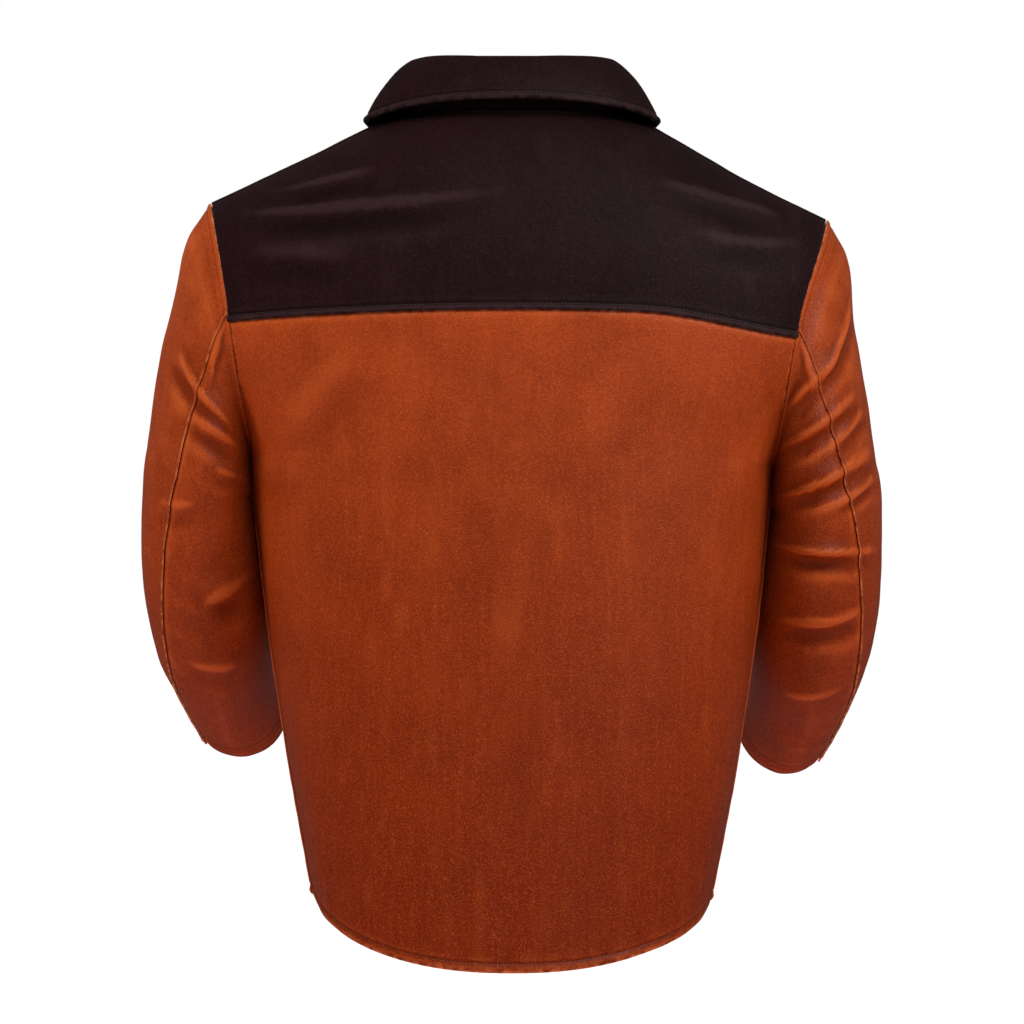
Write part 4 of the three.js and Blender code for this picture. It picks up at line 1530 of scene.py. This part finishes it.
def add_snap(label, seat, outward, over, under):
    """one snap: cap and socket on the left side's layers, stud and post on the right one's"""
    parts = [
        ("cap", scaled(cap_radius, cap_height, cap_rim + dome), seam_gap, over),
        ("socket", scaled(socket_radius, socket_height, socket_shares), -socket_depth - socket_height, over),
        ("stud", scaled(socket_radius, stud_height, stud_foot + stud_head), -stud_depth - stud_height, under),
        ("post", scaled(socket_radius * 0.8, post_height, post_shares), -post_depth - post_height, under),
    ]
    for kind, profile, height, body in parts:
        node = f"snap_{kind}_{label}"
        piece = turned(f"{node}_brass", profile, seat + outward * height, outward)
        attach(piece, body)
        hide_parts(node)


def add_snaps():
    def yoke_depth_at(z):
        share = (z - yoke_base) / (crown_height - yoke_base)
        return -body_half_depth * (1 - share**front_arc_power) ** (1 / front_arc_power)

    slope = (yoke_depth_at(yoke_snap + mm) - yoke_depth_at(yoke_snap - mm)) / (2 * mm)
    seats = [("yoke", yoke_depth_at(yoke_snap), yoke_snap, slope, ("root", "root"))]
    for index in range(snap_count):
        z = first_snap - index * snap_pitch
        seats.append((index + 1, -body_half_depth, z, 0, ("left_front", "right_front")))
    for label, y, z, rise, bodies in seats:
        outward = unit(np.array([0.0, -1.0, rise]))
        seat = np.array([0.0, y, z])
        fold_lift = float(body_relief(seat[None], outward[None], np.ones(1))[0])
        add_snap(label, seat + outward * fold_lift, outward, *bodies)


# ---- floor, light and camera


def add_floor():
    floor_gap = 200 * mm
    reach = 60.0
    level = cad_box[0][2] - floor_gap
    corners = [(x * reach, y * reach, level) for x, y in ((-1, -1), (1, -1), (1, 1), (-1, 1))]
    nodes = dyed("pale_floor")
    paint = nodes.surface({
        "Base Color": nodes.mix(nodes.noise(2.0, 2), (0.91, 0.91, 0.91), (0.94, 0.94, 0.94)),
        "Roughness": 0.9,
        "Specular IOR Level": 0.1,
        "Emission Color": (1, 1, 1),
        "Emission Strength": 0.45,
    })
    floor = make_mesh("studio_floor", corners, [(0, 1, 2, 3)], [paint])
    floor.visible_diffuse = False  # a white floor this close would light every hollow from below
    floor.visible_glossy = False
    floor.visible_shadow = False  # the light from below comes through it


middle = [(low + high) / 2 for low, high in zip(*cad_box)]


def direction_turn(aim):
    """turn that points an object's -Z along a direction, with its Y upward"""
    flat = math.hypot(aim[0], aim[1])
    return (math.atan2(flat, -aim[2]), 0, math.atan2(-aim[0], aim[1]))


def add_light(name, kind, energy, aim, **settings):
    """a light aimed along a direction"""
    light = bpy.data.lights.new(name, kind)
    light.energy = energy
    for label, value in settings.items():
        setattr(light, label, value)
    light_object = add_object(name, light)
    light_object.rotation_euler = direction_turn(aim)
    return light_object


def add_lamp(name, place, size, power, shines=True):
    """a round lamp aimed at the jacket; one that doesn't shine leaves no reflection"""
    lamp = add_light(name, "AREA", power, np.array(middle) - np.array(place), shape="DISK", size=size)
    lamp.location = place
    lamp.visible_glossy = shines


def studio_world():
    """a white backdrop that lights the jacket more gently than it looks, with a warm bounce from below"""
    white, warm = (1, 1, 1), (1, 0.55, 0.32)
    low, high = -0.8, -0.2  # the upward share of the directions between which the bounce fades
    from_below, from_above, mirrored_light = 2.4, 0.32, 0.12
    nodes = Nodes(bpy.data.worlds.new("studio"), "Generated")
    height = nodes.height()
    light = nodes.tree.nodes["Background"]
    nodes.feed_all(light, {
        "Strength": nodes.ranged(height, low, high, from_below, from_above),
        "Color": nodes.mix(nodes.ranged(height, low, high), warm, white),
    })
    shown = light.outputs[0]
    for seen_by, strength in (("Is Glossy Ray", mirrored_light), ("Is Camera Ray", 1.0)):
        other = nodes.add("ShaderNodeBackground", {"Color": white, "Strength": strength}, 0)
        ray = nodes.add("ShaderNodeLightPath", {}, seen_by)
        shown = nodes.add("ShaderNodeMixShader", {0: ray, 1: shown, 2: other}, 0)
    nodes.feed_all(nodes.tree.nodes["World Output"], {"Surface": shown})
    return nodes.owner


def light_jacket():
    bpy.context.scene.world = studio_world()
    add_light("key", "SUN", 1.5, (0.22, -0.67, -0.71), angle=30 * degree)
    add_lamp("left_side", (2.0, 0.8, 0.8), 1.0, 48, shines=False)
    add_lamp("right_side", (-1.3, 1.1, 0.7), 0.8, 28)
    add_lamp("front_key", (1.2, -2.3, 1.6), 1.2, 80, shines=False)
    bpy.context.scene.view_settings.view_transform = "Standard"


def add_camera():
    """square on to the back, far enough away to see hardly any perspective"""
    distance = 10.0
    margin = 1.1262
    view_size = (cad_box[1][2] - cad_box[0][2]) * margin
    camera = bpy.data.cameras.new("camera")
    camera.sensor_width = 36
    camera.lens = camera.sensor_width * distance / view_size
    camera.clip_end = 200
    camera_object = add_object("camera", camera)
    camera_object.location = (0, distance, middle[2])
    camera_object.rotation_euler = (quarter, 0, math.pi)
    bpy.context.scene.camera = camera_object


add_back()
for side, sign in sides:
    add_front(side, sign)
for side, sign in sides:
    add_facings(side, sign)
add_hems()
add_pocket()
add_neck()
add_collar()
for side, sign in sides:
    add_sleeve(side, sign)
add_snaps()
add_floor()
light_jacket()
add_camera()
